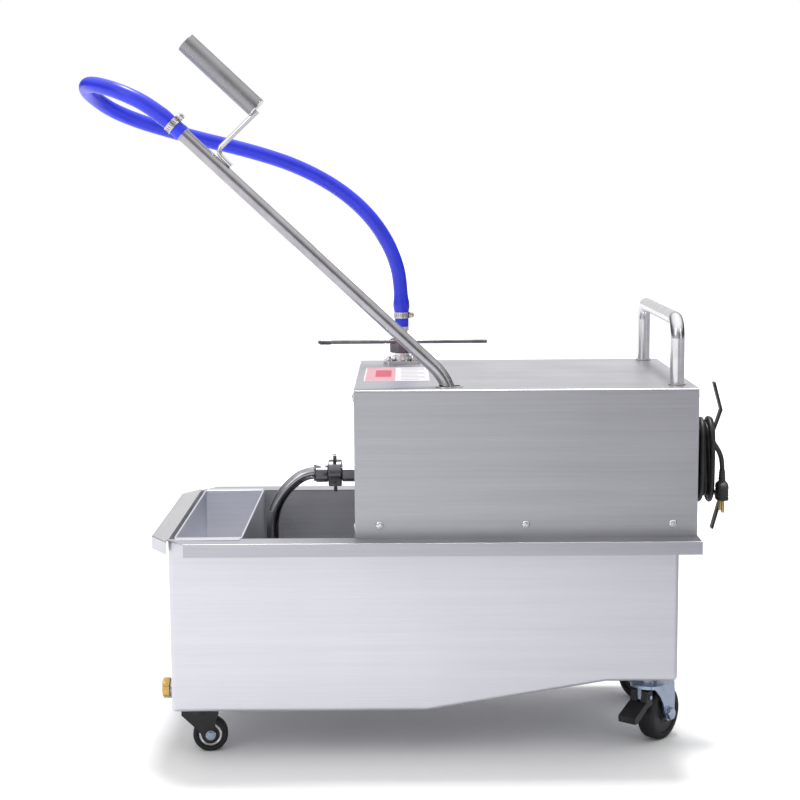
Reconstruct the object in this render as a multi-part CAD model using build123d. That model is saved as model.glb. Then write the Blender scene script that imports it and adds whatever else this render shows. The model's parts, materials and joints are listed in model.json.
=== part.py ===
"""Mobile fryer-oil filter cart: stainless tank on castors, pump box on top, hose and wand.

Millimetres. +X runs from the pouring lip towards the push handle, +Y to the back, +Z up.
The floor is z = 0, and X = 0 is halfway between the lip's edge and the cord hooks' faces.
"""
import math
import os

from build123d import *

# ---------------------------------------------------------------- driving dimensions
SHEET = 1.5                 # stainless sheet thickness
TANK_X0, TANK_X1 = -385.0, 327.0
TANK_HALF_W = 186.0
TANK_FLOOR = 72.0           # underside of the deep end
TANK_FLOOR_SHALLOW = 113.0  # underside of the shallow end
SLOPE_X0, SLOPE_X1 = -25.0, 226.0
RIM_TOP = 321.0
RIM_HALF_W = 221.0
RIM_X1 = 353.0
RIM_FRONT_X0 = -359.0       # where the long flanges stop at the lip end
SKIRT = 18.5
LIP_X0 = -411.0
LIP_HALF_W = 160.0          # at the outer edge; the lip's ends run back to the wider root
LIP_ROOT_HALF_W = 203.0

BASKET_X0, BASKET_X1 = -377.0, -281.0
BASKET_HALF_W = 183.0
BASKET_DEPTH = 100.0
BASKET_WALL = 1.2

FILTER_X0, FILTER_X1 = -330.0, -50.0
FILTER_HALF_W = 160.0
FILTER_Z0, FILTER_Z1 = 84.0, 106.0

BOX_X0, BOX_X1 = -124.0, 351.0
BOX_Y0, BOX_Y1 = -186.0, 210.0
BOX_Z0, BOX_Z1 = RIM_TOP, 528.0
END_PLATE = 3.5             # folded end plate, seen edge-on

SUCTION_Y, SUCTION_Z = 14.0, 378.5
PICKUP_X = -255.0
PIPE_R = 9.0
PIPE_BORE_R = 7.8
PIPE_KNEES = [(-205.5, SUCTION_Z), (PICKUP_X, 337.0)]   # X and Z where its runs would meet
PIPE_BEND_RADII = [45.0, 90.0]

OUTLET_X, OUTLET_Y = -58.0, 165.0
UNION_Z0, UNION_Z1 = 545.0, 567.0
TBAR_Z = 563.0
TBAR_X0, TBAR_X1 = -190.0, 76.0
HOSE_R = 11.0
HOSE_END_Z = 586.0

WAND_X, WAND_Y = 12.0, -152.0
WAND_R = 9.5
WAND_TIP_Z = 488.0
WAND_KNEE_Z = 533.4         # where the upright and the sloping run would meet
WAND_BEND_R = 82.0
WAND_TOP = (-359.5, 882.7)  # X and Z of the hose end of the tube
SOCKET_X = 8.5              # the top's slot is oblong, to pass the bent tip
SOCKET_LEN, SOCKET_W = 33.0, 23.0
GRIP_R = 14.0
GRIP_RISE = 94.3            # from the wand's axis to the grip's
GRIP_LEN = 129.0
GRIP_BACK = 55.6            # grip's lower end, back from the wand's hose end
ROD_R = 3.5
ROD_FOOT, ROD_KNEE = 84.0, 55.5

HANDLE_X = 327.0
HANDLE_Y0, HANDLE_Y1 = -142.0, 187.0
HANDLE_TOP = 629.0
HANDLE_R = 10.0

HOOK_Y = -36.0
HOOK_W = 14.0
HOOK_T = 3.0
HOOK_UP_Z, HOOK_LOW_Z = 446.0, 362.5
HOOK_ARM_X = 400.0          # where the arm turns up
HOOK_FACE_X = 411.0         # outermost bend

CORD_R = 3.5
COIL_X0, COIL_X1 = 357.0, 399.0
COIL_IN_R = 15.0
COIL_OUT_R = 32.0
COIL_HALF = 32.0            # half the distance between the round ends' centres
GLAND_Y, GLAND_Z = 110.0, 372.0
PLUG_Y, PLUG_Z = -62.0, 362.0
PLUG_X = COIL_X1 + 9.0      # the plug lies against the coil's outer face
PLUG_W, PLUG_H = 31.0, 26.0
PIN_PITCH, PIN_LEN, PIN_R = 19.0, 18.0, 2.4

SWITCH_Y, SWITCH_Z = -130.0, 470.0
SWITCH_W, SWITCH_H = 22.0, 30.0

LABEL_X0, LABEL_X1 = -113.0, -18.0
LABEL_Y0, LABEL_Y1 = -80.0, 96.0

PUMP_X0, PUMP_X1 = -95.0, -30.0
PUMP_Y = 14.0
DRIVE_Z = 405.0
GEAR_R = 15.0               # pitch radius, two equal gears
GEAR_TEETH = 12
SHAFT_R = 7.0
FIT = 0.05                  # radial running clearance

DRAIN_Y, DRAIN_Z = -136.0, 90.0

FRONT_CASTOR = (-353.0, 136.0)
REAR_CASTOR = (297.0, 113.0)
FRONT_HEADING = 6.0         # trail direction of the castors on the wand's side, degrees
REAR_HEADING = 50.0
FRONT_WHEEL_R, FRONT_WHEEL_W, FRONT_TRAIL = 25.0, 19.0, 16.0
REAR_WHEEL_R, REAR_WHEEL_W, REAR_TRAIL = 40.0, 26.0, 28.0
# Side outlines of the forks' legs: distance along the trail, height.
FRONT_LEG = [
    (-25.0, 61.5),
    (-25.0, 56.0),
    (-4.0, 35.0),
    (1.4, 28.0),
    (8.0, 16.0),
    (16.0, 14.0),
    (22.0, 20.0),
    (23.0, 42.0),
    (28.0, 57.0),
    (28.0, 61.5),
]
REAR_LEG = [
    (-20.0, 90.5),
    (-20.0, 86.0),
    (-12.0, 84.5),
    (-7.5, 81.5),
    (4.7, 69.8),
    (13.0, 56.9),
    (17.0, 42.8),
    (23.0, 33.5),
    (29.0, 30.0),
    (37.0, 32.5),
    (44.0, 38.5),
    (45.0, 60.0),
    (43.0, 84.0),
    (41.0, 90.5),
]
PEDAL_PIVOT = (-18.0, 74.0)
PEDAL_PIN_R, PEDAL_PIN_HALF = 3.0, 16.0
PEDAL_HALF_W = 14.0
PEDAL_TAB_HALF = 3.0        # the tab under the crown that carries the pedal's pin
PEDAL_OUTLINE = [
    (-24.0, 83.0),
    (-12.0, 83.0),
    (-11.0, 62.0),
    (-24.0, 59.0),
    (-49.0, 43.0),
    (-57.0, 43.0),
    (-58.0, 52.0),
    (-27.0, 68.0),
]

WAND_END = Vector(WAND_TOP[0], WAND_Y, WAND_TOP[1])
WAND_DIR = (WAND_END - Vector(WAND_X, WAND_Y, WAND_KNEE_Z)).normalized()

# Hose route, from the outlet to the wand, and cord route, from the gland to the coil.
HOSE_ROUTE = [
    (OUTLET_X, OUTLET_Y, HOSE_END_Z),
    (OUTLET_X, OUTLET_Y, 641.0),
    (-66.0, 164.0, 692.0),
    (-97.0, 158.0, 750.0),
    (-146.0, 147.0, 798.0),
    (-212.0, 130.0, 836.0),
    (-287.0, 108.0, 861.0),
    (-372.0, 76.0, 881.0),
    (-470.0, 34.0, 911.0),
    (-506.0, -30.0, 940.0),
    (-495.0, -104.0, 952.0),
    (-443.0, -150.0, 938.5),
    tuple(WAND_END + WAND_DIR * 45),
    tuple(WAND_END),
]
CORD_ROUTE = [
    (364.0, 110.0, 372.0),
    (402.0, 110.0, 372.0),
    (409.0, 78.0, 350.0),
    (397.0, 38.0, 362.0),
    (384.0, -7.0, 384.0),
]

parts = {}


# ---------------------------------------------------------------- helpers
def box(x0, x1, y0, y1, z0, z1):
    """Block between two opposite corners."""
    size = Box(x1 - x0, y1 - y0, z1 - z0)
    return Pos((x0 + x1) / 2, (y0 + y1) / 2, (z0 + z1) / 2) * size


def rod_z(x, y, z0, z1, r):
    return Pos(x, y, (z0 + z1) / 2) * Cylinder(r, z1 - z0)


def slot_z(length, width, z0, z1):
    """Oblong block along X at the wand's socket."""
    outline = Pos(SOCKET_X, WAND_Y, z0) * SlotOverall(length, width)
    return extrude(outline, amount=z1 - z0)


def rod_x(x0, x1, y, z, r):
    return Pos((x0 + x1) / 2, y, z) * Rot(0, 90, 0) * Cylinder(r, x1 - x0)


def rod_y(x, y0, y1, z, r):
    return Pos(x, (y0 + y1) / 2, z) * Rot(90, 0, 0) * Cylinder(r, y1 - y0)


def prism_y(outline, y0, y1):
    """Closed XZ outline carried from y0 to y1."""
    wire = Polyline(*[(x, 0, z) for x, z in outline], close=True)
    return Pos(0, y1, 0) * extrude(make_face(wire), amount=y1 - y0, dir=(0, -1, 0))


def prism_x(outline, x0, x1):
    """Closed YZ outline carried from x0 to x1."""
    wire = Polyline(*[(0, y, z) for y, z in outline], close=True)
    return Pos(x0, 0, 0) * extrude(make_face(wire), amount=x1 - x0, dir=(1, 0, 0))


def hexagon_x(x0, x1, y, z, across_corners):
    """Hexagonal bar along X."""
    r = across_corners / 2
    turns = [math.radians(60 * k) for k in range(6)]
    outline = [(y + r * math.cos(t), z + r * math.sin(t)) for t in turns]
    return prism_x(outline, x0, x1)


def corner_radii(points):
    """Bend radius at each inner point: 0.45 of the shorter run over tan(half the turn)."""
    radii = []
    for a, b, c in zip(points, points[1:], points[2:]):
        u = Vector(b) - Vector(a)
        v = Vector(c) - Vector(b)
        half = math.radians(u.get_angle(v)) / 2
        radii.append(0.45 * min(u.length, v.length) / math.tan(half))
    return radii


def tube_along(points, r, radii=None):
    """Round bar swept along straight runs joined by tangent arcs."""
    radii = radii or corner_radii(points)
    path = FilletPolyline(*points, radius=radii)
    start = Plane(origin=points[0], z_dir=Vector(points[1]) - Vector(points[0]))
    return sweep(start * Circle(r), path=path)


# ---------------------------------------------------------------- tank
def tank_outline(t):
    """Side outline of the tank, moved in by t."""
    rise = TANK_FLOOR_SHALLOW - TANK_FLOOR
    back = t * math.tan(math.atan2(rise, SLOPE_X1 - SLOPE_X0) / 2)
    top = RIM_TOP - SHEET
    return [
        (TANK_X0 + t, top),
        (TANK_X0 + t, TANK_FLOOR + t),
        (SLOPE_X0 - back, TANK_FLOOR + t),
        (SLOPE_X1 - back, TANK_FLOOR_SHALLOW + t),
        (TANK_X1 - t, TANK_FLOOR_SHALLOW + t),
        (TANK_X1 - t, top),
    ]


def tank_block(t, radius):
    half = TANK_HALF_W - t
    block = prism_y(tank_outline(t), -half, half)
    top = RIM_TOP - SHEET
    edges = [e for e in block.edges() if e.bounding_box().min.Z < top - 0.1]
    return fillet(edges, radius)


def tank_shell():
    shell = tank_block(0, 6.0) - tank_block(SHEET, 6.0 - SHEET)
    drain = rod_x(TANK_X0 - 5, TANK_X0 + 5, DRAIN_Y, DRAIN_Z + 3, 9.0)
    return shell - drain


def rim_plate():
    """Long and right-hand flanges folded out from the tank top, with their skirts."""
    top, under = RIM_TOP, RIM_TOP - SHEET
    inner_x0, inner_x1 = TANK_X0 + SHEET, TANK_X1 - SHEET
    inner_y = TANK_HALF_W - SHEET
    corners = [
        (TANK_X0, -TANK_HALF_W - 4),
        (RIM_FRONT_X0, -RIM_HALF_W),
        (RIM_X1, -RIM_HALF_W),
        (RIM_X1, RIM_HALF_W),
        (RIM_FRONT_X0, RIM_HALF_W),
        (TANK_X0, TANK_HALF_W + 4),
    ]
    wire = Polyline(*[(x, y, under) for x, y in corners], close=True)
    plate = extrude(make_face(wire), amount=SHEET, dir=(0, 0, 1))
    low = top - SKIRT
    skirts = box(RIM_FRONT_X0, RIM_X1, -RIM_HALF_W, -RIM_HALF_W + SHEET, low, under)
    skirts += box(RIM_FRONT_X0, RIM_X1, RIM_HALF_W - SHEET, RIM_HALF_W, low, under)
    skirts += box(RIM_X1 - SHEET, RIM_X1, -RIM_HALF_W, RIM_HALF_W, low, under)
    rim = plate + skirts
    rim -= box(inner_x0 - 10, inner_x1, -inner_y, inner_y, under - 1, top + 1)
    edges = rim.edges().filter_by(lambda e: abs(e.center().Z - top) < 0.01)
    outer = [
        e for e in edges
        if abs(abs(e.center().Y) - RIM_HALF_W) < 0.1 or abs(e.center().X - RIM_X1) < 0.1
    ]
    return fillet(outer, 1.2)


def lip_block(t, z0, z1):
    """The pouring lip's plan, its outer edge and slanted ends moved in by t, from z0 to z1."""
    slant = math.atan2(LIP_ROOT_HALF_W - LIP_HALF_W, TANK_X0 - LIP_X0)
    root_y = LIP_ROOT_HALF_W - t / math.cos(slant)
    edge_y = LIP_HALF_W - t * math.tan(math.pi / 4 - slant / 2)
    corners = [
        (TANK_X0, -root_y),
        (LIP_X0 + t, -edge_y),
        (LIP_X0 + t, edge_y),
        (TANK_X0, root_y),
    ]
    wire = Polyline(*[(x, y, z0) for x, y in corners], close=True)
    return extrude(make_face(wire), amount=z1 - z0, dir=(0, 0, 1))


def pour_lip():
    """Left-hand flange that oil is poured over, folded down along its edge and slanted ends."""
    low = RIM_TOP - SKIRT
    lip = lip_block(0, low, RIM_TOP) - lip_block(SHEET, low - 1, RIM_TOP - SHEET)
    edges = lip.edges().filter_by(lambda e: abs(e.center().Z - RIM_TOP) < 0.01)
    lip = fillet([e for e in edges if e.center().X < TANK_X0 - 1], 1.2)
    root_y = TANK_HALF_W - SHEET
    return lip + box(TANK_X0, TANK_X0 + SHEET, -root_y, root_y, RIM_TOP - SHEET, RIM_TOP)


def crumb_basket():
    """Open sheet basket hung in the tank by its end flanges."""
    top = RIM_TOP + BASKET_WALL
    low = RIM_TOP - BASKET_DEPTH
    y = BASKET_HALF_W
    outer = box(BASKET_X0, BASKET_X1, -y, y, low, top)
    outer = fillet(outer.edges().filter_by(Axis.Z), 4)
    t = BASKET_WALL
    inner = box(BASKET_X0 + t, BASKET_X1 - t, -y + t, y - t, low + t, top + 1)
    inner = fillet(inner.edges().filter_by(Axis.Z), 4 - t)
    basket = outer - inner
    for side in (-1, 1):
        y0, y1 = sorted((side * (y - 1), side * (y + 14)))
        tab = box(BASKET_X0 + 2, BASKET_X1 - 2, y0, y1, RIM_TOP, top)
        corners = tab.edges().filter_by(Axis.Z).group_by(Axis.Y)[0 if side < 0 else -1]
        basket += fillet(corners, 4)
    return basket


parts["tank_shell"] = tank_shell()
parts["tank_rim"] = rim_plate()
parts["pour_lip"] = pour_lip()
parts["crumb_basket"] = crumb_basket()


# ---------------------------------------------------------------- filter in the tank
def filter_frame():
    """Flat frame on four feet, with the pickup socket on its cover bar."""
    y = FILTER_HALF_W
    z0, z1 = FILTER_Z0, FILTER_Z1
    frame = box(FILTER_X0, FILTER_X1, -y, y, z0, z1)
    frame -= box(FILTER_X0 + 12, FILTER_X1 - 12, -y + 12, y - 12, z0 - 1, z1 + 1)
    bar_x0, bar_x1 = PICKUP_X - 20, PICKUP_X + 20
    frame += box(bar_x0, bar_x1, -y + 12, y - 12, z1 - 4, z1)
    socket = rod_z(PICKUP_X, SUCTION_Y, z1 - 4, z1 + 22, PIPE_R + 4)
    frame += socket
    frame -= rod_z(PICKUP_X, SUCTION_Y, z1 - 5, z1 + 23, PIPE_R)
    for fx in (FILTER_X0 + 6, FILTER_X1 - 6):
        for fy in (-y + 6, y - 6):
            frame += rod_z(fx, fy, TANK_FLOOR + SHEET, z0, 5)
    return frame


def filter_screen():
    """Mesh stretched in the frame below the cover bar."""
    y = FILTER_HALF_W - 12
    return box(FILTER_X0 + 12, FILTER_X1 - 12, -y, y, FILTER_Z0 + 6, FILTER_Z0 + 8)


parts["filter_frame"] = filter_frame()
parts["filter_screen"] = filter_screen()


# ---------------------------------------------------------------- suction line
UNION_X = [-189.0, -169.5, -149.0, -127.0]


def suction_pipe():
    points = [
        (UNION_X[0] + 4, SUCTION_Y, SUCTION_Z),
        *[(x, SUCTION_Y, z) for x, z in PIPE_KNEES],
        (PICKUP_X, SUCTION_Y, FILTER_Z1 - 4),
    ]
    pipe = tube_along(points, PIPE_R, PIPE_BEND_RADII)
    return pipe - tube_along(points, PIPE_BORE_R, PIPE_BEND_RADII)


def suction_tail():
    tail = hexagon_x(UNION_X[0], UNION_X[1], SUCTION_Y, SUCTION_Z, 28)
    tail += rod_x(UNION_X[1], UNION_X[1] + 10, SUCTION_Y, SUCTION_Z, 11)
    tail -= rod_x(UNION_X[0] - 1, UNION_X[0] + 4, SUCTION_Y, SUCTION_Z, PIPE_R)
    return tail - rod_x(UNION_X[0], UNION_X[1] + 11, SUCTION_Y, SUCTION_Z, PIPE_BORE_R)


def suction_wing_nut():
    x0, x1 = UNION_X[1] + 0.4, UNION_X[2] - 0.4
    nut = rod_x(x0, x1, SUCTION_Y, SUCTION_Z, 20)
    nut = fillet(nut.edges(), 1.2)
    mid = (x0 + x1) / 2
    for side in (-1, 1):
        wing = Box(5, 9, 15, align=(Align.CENTER, Align.CENTER, Align.MIN))
        wing = fillet(wing.edges().filter_by(Axis.X), 3.5)
        place = Pos(mid, SUCTION_Y, SUCTION_Z) * Rot(90 - 90 * side, 0, 0)
        nut += place * Rot(18, 0, 0) * Pos(0, 0, 16) * wing
    nut -= rod_x(x0 - 1, UNION_X[1] + 10.4, SUCTION_Y, SUCTION_Z, 11.4)
    return nut - rod_x(UNION_X[1] + 10, x1 + 1, SUCTION_Y, SUCTION_Z, 11.4)


def suction_nipple():
    """Threaded nipple through the left end plate into the pump."""
    y, z = SUCTION_Y, SUCTION_Z
    nipple = hexagon_x(UNION_X[2], UNION_X[3], y, z, 27)
    nipple += rod_x(UNION_X[1] + 10.6, UNION_X[2], y, z, 11)
    nipple += rod_x(UNION_X[3], PUMP_X0, y, z, 10)
    nipple += rod_x(UNION_X[3], BOX_X0, y, z, 15)
    return nipple - rod_x(UNION_X[1] + 9, PUMP_X0 + 1, y, z, PIPE_R - 2)


parts["suction_pipe"] = suction_pipe()
parts["suction_tail"] = suction_tail()
parts["suction_wing_nut"] = suction_wing_nut()
parts["suction_nipple"] = suction_nipple()


# ---------------------------------------------------------------- pump box
def box_outline(t):
    """Folded front, top and back, seen along X, moved in by t."""
    return [
        (BOX_Y0 + t, BOX_Z0 + SHEET),
        (BOX_Y0 + t, BOX_Z1 - t),
        (BOX_Y1 - t, BOX_Z1 - t),
        (BOX_Y1 - t, BOX_Z0 + SHEET),
    ]


def box_cover():
    x0, x1 = BOX_X0 + END_PLATE, BOX_X1 - END_PLATE
    outer = prism_x(box_outline(0), x0, x1)
    long_top = outer.edges().filter_by(Axis.X).group_by(Axis.Z)[-1]
    outer = fillet(long_top, 3.0)
    inner = prism_x(box_outline(SHEET), x0 - 1, x1 + 1)
    inner = fillet(inner.edges().filter_by(Axis.X).group_by(Axis.Z)[-1], 3.0 - SHEET)
    cover = outer - inner
    cover -= rod_z(OUTLET_X, OUTLET_Y, BOX_Z1 - 5, BOX_Z1 + 5, 13.0)
    return cover - slot_z(SOCKET_LEN, SOCKET_W, BOX_Z1 - 5, BOX_Z1 + 5)


def end_plate(side):
    """Folded end plate; side is -1 on the left and 1 on the right."""
    edge = BOX_X0 if side < 0 else BOX_X1
    inside = edge - side * END_PLATE
    x0, x1 = sorted((edge, inside))
    plate = box(x0, x1, BOX_Y0, BOX_Y1, BOX_Z0 + SHEET, BOX_Z1)
    along_x = plate.edges().filter_by(Axis.X).group_by(Axis.Z)[-1]
    plate = fillet(along_x, 3.0)
    x0, x1 = sorted((edge - side * SHEET, inside - side))
    rim = 9.0
    hollow = box(x0, x1, BOX_Y0 + rim, BOX_Y1 - rim, BOX_Z0 + rim, BOX_Z1 - rim)
    plate -= hollow
    if side < 0:
        return plate - rod_x(BOX_X0 - 1, BOX_X0 + 5, SUCTION_Y, SUCTION_Z, 10)
    plate -= rod_x(BOX_X1 - 5, BOX_X1 + 1, GLAND_Y, GLAND_Z, 8)
    half_w, half_h = SWITCH_W / 2 - 2, SWITCH_H / 2 - 2
    y0, y1 = SWITCH_Y - half_w, SWITCH_Y + half_w
    return plate - box(BOX_X1 - 5, BOX_X1 + 1, y0, y1, SWITCH_Z - half_h, SWITCH_Z + half_h)


parts["box_cover"] = box_cover()
parts["left_end_plate"] = end_plate(-1)
parts["right_end_plate"] = end_plate(1)
parts["base_plate"] = box(BOX_X0, BOX_X1, BOX_Y0, BOX_Y1, BOX_Z0, BOX_Z0 + SHEET)


def cover_screws():
    """Domed screws along the front's bottom edge and round the end plates."""
    screws = []
    head = Cylinder(6.0, 3.0, align=(Align.CENTER, Align.CENTER, Align.MIN))
    head = fillet(head.edges().sort_by(Axis.Z)[-1], 2.0)
    for x in (-90.0, 113.0, 317.0):
        screws.append(Pos(x, BOX_Y0, BOX_Z0 + 18) * Rot(90, 0, 0) * head)
        screws.append(Pos(x, BOX_Y1, BOX_Z0 + 18) * Rot(-90, 0, 0) * head)
    for y in (BOX_Y0 + 16, (BOX_Y0 + BOX_Y1) / 2, BOX_Y1 - 16):
        for z in (BOX_Z1 - 12, BOX_Z0 + 12):
            screws.append(Pos(BOX_X0, y, z) * Rot(0, -90, 0) * head)
            screws.append(Pos(BOX_X1, y, z) * Rot(0, 90, 0) * head)
    return Compound(children=screws)


parts["cover_screws"] = cover_screws()


def wand_socket():
    """Flanged oblong cup under the top, which the wand's tip drops into."""
    cup = slot_z(SOCKET_LEN, SOCKET_W, BOX_Z1 - 46, BOX_Z1 + 1.5)
    cup += slot_z(SOCKET_LEN + 6, SOCKET_W + 6, BOX_Z1, BOX_Z1 + 1.5)
    return cup - slot_z(SOCKET_LEN - 2, SOCKET_W - 2, BOX_Z1 - 41, BOX_Z1 + 3)


parts["wand_socket"] = wand_socket()


def push_handle():
    """U-shaped handle across the box's right end."""
    foot = BOX_Z1
    points = [
        (HANDLE_X, HANDLE_Y0, foot),
        (HANDLE_X, HANDLE_Y0, HANDLE_TOP - HANDLE_R),
        (HANDLE_X, HANDLE_Y1, HANDLE_TOP - HANDLE_R),
        (HANDLE_X, HANDLE_Y1, foot),
    ]
    return tube_along(points, HANDLE_R, [26, 26])


parts["push_handle"] = push_handle()
label = box(LABEL_X0, LABEL_X1, LABEL_Y0, LABEL_Y1, BOX_Z1, BOX_Z1 + 0.4)
parts["top_label"] = fillet(label.edges().filter_by(Axis.Z), 2)


# ---------------------------------------------------------------- pump, motor and outlet
def gear(phase):
    """Spur gear about X at the origin, 20 long, with straight-sided teeth."""
    root, tip = GEAR_R - 2.8, GEAR_R + 2.2
    pitch = 360 / GEAR_TEETH
    wheel = rod_x(-10, 10, 0, 0, root)
    tooth = prism_x([(root - 1, -2.2), (tip, -0.9), (tip, 0.9), (root - 1, 2.2)], -10, 10)
    for k in range(GEAR_TEETH):
        wheel += Rot(pitch * k + phase, 0, 0) * tooth
    return wheel


DRIVEN_Z = DRIVE_Z - 2 * GEAR_R
GEAR_X = PUMP_X1 - 14.0
CAVITY_R = GEAR_R + 2.7


def pump_body():
    """Gear pump housing, open towards the motor, with pressed-in driven-gear pin."""
    y = PUMP_Y
    body = box(PUMP_X0, PUMP_X1, y - 42, y + 42, DRIVEN_Z - 36, DRIVE_Z + 36)
    body = fillet(body.edges().filter_by(Axis.X), 8)
    x0 = GEAR_X - 10.5
    for z in (DRIVE_Z, DRIVEN_Z):
        body -= rod_x(x0, PUMP_X1 + 1, y, z, CAVITY_R)
    body -= rod_x(x0 - 16, x0, y, DRIVE_Z, SHAFT_R + FIT)
    body += rod_x(x0 - 1, PUMP_X1, y, DRIVEN_Z, 5)
    mid = (DRIVE_Z + DRIVEN_Z) / 2
    body -= rod_y(OUTLET_X, y + 10, y + 43, mid, 8)
    body -= rod_x(PUMP_X0 - 1, PUMP_X0 + 12, SUCTION_Y, SUCTION_Z, PIPE_R - 2)
    return body


def pump_cover():
    y = PUMP_Y
    cover = box(PUMP_X1, PUMP_X1 + 10, y - 42, y + 42, DRIVEN_Z - 36, DRIVE_Z + 36)
    cover = fillet(cover.edges().filter_by(Axis.X), 8)
    return cover - rod_x(PUMP_X1 - 1, PUMP_X1 + 11, y, DRIVE_Z, SHAFT_R + FIT)


MOTOR_X0, MOTOR_X1 = 30.0, 215.0
MOTOR_R = 60.0
COWL_SLOTS = 12


def motor_body():
    body = rod_x(MOTOR_X0, MOTOR_X1, PUMP_Y, DRIVE_Z, MOTOR_R)
    body = fillet(body.edges(), 8)
    body += box(90, 160, PUMP_Y - 30, PUMP_Y + 30, DRIVE_Z + 50, DRIVE_Z + 84)
    return body - rod_x(MOTOR_X0 - 1, MOTOR_X1 + 1, PUMP_Y, DRIVE_Z, SHAFT_R + FIT)


def motor_mount():
    """Saddle under the motor, bolted to the base plate."""
    floor = BOX_Z0 + SHEET
    y = PUMP_Y
    mount = box(60, 185, y - 55, y + 55, floor, floor + 4)
    for x in (70.0, 165.0):
        mount += box(x, x + 8, y - 45, y + 45, floor, DRIVE_Z - 38)
    mount += box(PUMP_X0 + 8, PUMP_X1 - 8, y - 30, y + 30, floor, DRIVEN_Z - 36)
    return mount - rod_x(0, 260, y, DRIVE_Z, MOTOR_R)


def motor_shaft():
    """Shaft from the drive gear through coupling and motor to the fan."""
    y, z = PUMP_Y, DRIVE_Z
    shaft = rod_x(GEAR_X + 10, MOTOR_X1 + 16, y, z, SHAFT_R)
    shaft += rod_x(GEAR_X - 25, GEAR_X - 10, y, z, SHAFT_R)
    shaft += rod_x(PUMP_X1 + 16, MOTOR_X0 - 8, y, z, 18)
    shaft += rod_x(MOTOR_X1 + 4, MOTOR_X1 + 14, y, z, 20)
    for k in range(8):
        blade = box(MOTOR_X1 + 5, MOTOR_X1 + 13, -1, 1, 15, 52)
        shaft += Pos(0, y, z) * Rot(45 * k, 0, 0) * blade
    return shaft


def fan_cowl():
    """Pressed cowl over the motor's fan, with slots in its end for the air."""
    x0, x1 = MOTOR_X1 - 12, MOTOR_X1 + 22
    cowl = rod_x(x0, x1, PUMP_Y, DRIVE_Z, MOTOR_R + SHEET)
    cowl -= rod_x(x0 - 1, x1 - SHEET, PUMP_Y, DRIVE_Z, MOTOR_R)
    for k in range(COWL_SLOTS):
        slot = box(x1 - SHEET - 1, x1 + 1, -3, 3, 16, 48)
        cowl -= Pos(0, PUMP_Y, DRIVE_Z) * Rot(360 / COWL_SLOTS * k, 0, 0) * slot
    return cowl


def shaft_seal():
    """Ring on the pump cover that the shaft turns in."""
    x0 = PUMP_X1 + 10
    seal = rod_x(x0, x0 + 4, PUMP_Y, DRIVE_Z, 14)
    return seal - rod_x(x0 - 1, x0 + 5, PUMP_Y, DRIVE_Z, SHAFT_R + FIT)


parts["pump_body"] = pump_body()
parts["pump_cover"] = pump_cover()
parts["motor_body"] = motor_body()
parts["motor_mount"] = motor_mount()
parts["fan_cowl"] = fan_cowl()
parts["shaft_seal"] = shaft_seal()
parts["motor_shaft"] = motor_shaft()
parts["drive_gear"] = Pos(GEAR_X, PUMP_Y, DRIVE_Z) * gear(0)
driven = gear(180 / GEAR_TEETH) - rod_x(-11, 11, 0, 0, 5 + FIT)
parts["driven_gear"] = Pos(GEAR_X, PUMP_Y, DRIVEN_Z) * driven


def outlet_riser():
    """Pressure pipe from the pump to the union above the box."""
    mid = (DRIVE_Z + DRIVEN_Z) / 2
    points = [
        (OUTLET_X, PUMP_Y + 42, mid),
        (OUTLET_X, OUTLET_Y, mid),
        (OUTLET_X, OUTLET_Y, UNION_Z0 + 6),
    ]
    return tube_along(points, 12, [30]) - tube_along(points, 8, [30])


def outlet_flange():
    z = BOX_Z1
    flange = Pos(OUTLET_X, OUTLET_Y, z + 2.5) * Box(58, 46, 5)
    flange = fillet(flange.edges().filter_by(Axis.Z), 10)
    flange += rod_z(OUTLET_X, OUTLET_Y, z + 5, z + 12, 16)
    return flange - rod_z(OUTLET_X, OUTLET_Y, z - 1, z + 13, 12)


def flange_bolts():
    bolts = []
    for dx in (-21, 21):
        for dy in (-15, 15):
            x, y = OUTLET_X + dx, OUTLET_Y + dy
            bolts.append(rod_z(x, y, BOX_Z1 + 5, BOX_Z1 + 9, 4))
    return Compound(children=bolts)


def tbar_nut():
    """Union nut with a straight rod through it for turning by hand."""
    nut = rod_z(OUTLET_X, OUTLET_Y, UNION_Z0, UNION_Z1, 20)
    nut = fillet(nut.edges(), 1.5)
    bar = rod_x(TBAR_X0, TBAR_X1, 0, 0, 3)
    bar = Pos(0, OUTLET_Y - 15.6, TBAR_Z) * bar
    nut += bar
    nut -= rod_z(OUTLET_X, OUTLET_Y, UNION_Z0 - 1, UNION_Z1 - 5, 12.4)
    return nut - rod_z(OUTLET_X, OUTLET_Y, UNION_Z1 - 8, UNION_Z1 + 1, 9.4)


def hose_tail():
    """Barbed tail held by the union nut."""
    x, y = OUTLET_X, OUTLET_Y
    tail = rod_z(x, y, UNION_Z0 + 6, UNION_Z0 + 12, 12)
    tail += rod_z(x, y, UNION_Z0 + 12, HOSE_END_Z, 9)
    tail += rod_z(x, y, HOSE_END_Z - 6, HOSE_END_Z, 11)
    return tail - rod_z(x, y, UNION_Z0, HOSE_END_Z + 1, 7)


parts["outlet_riser"] = outlet_riser()
parts["outlet_flange"] = outlet_flange()
parts["flange_bolts"] = flange_bolts()
parts["tbar_nut"] = tbar_nut()
parts["hose_tail"] = hose_tail()
parts["oil_hose"] = tube_along(HOSE_ROUTE, HOSE_R)


# ---------------------------------------------------------------- wand
WAND_SIDE = Vector(-WAND_DIR.Z, 0, WAND_DIR.X) * -1     # square to the wand, upwards
WAND_ROUTE = [
    (WAND_X, WAND_Y, WAND_TIP_Z),
    (WAND_X, WAND_Y, WAND_KNEE_Z),
    (WAND_TOP[0], WAND_Y, WAND_TOP[1]),
]


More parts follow.
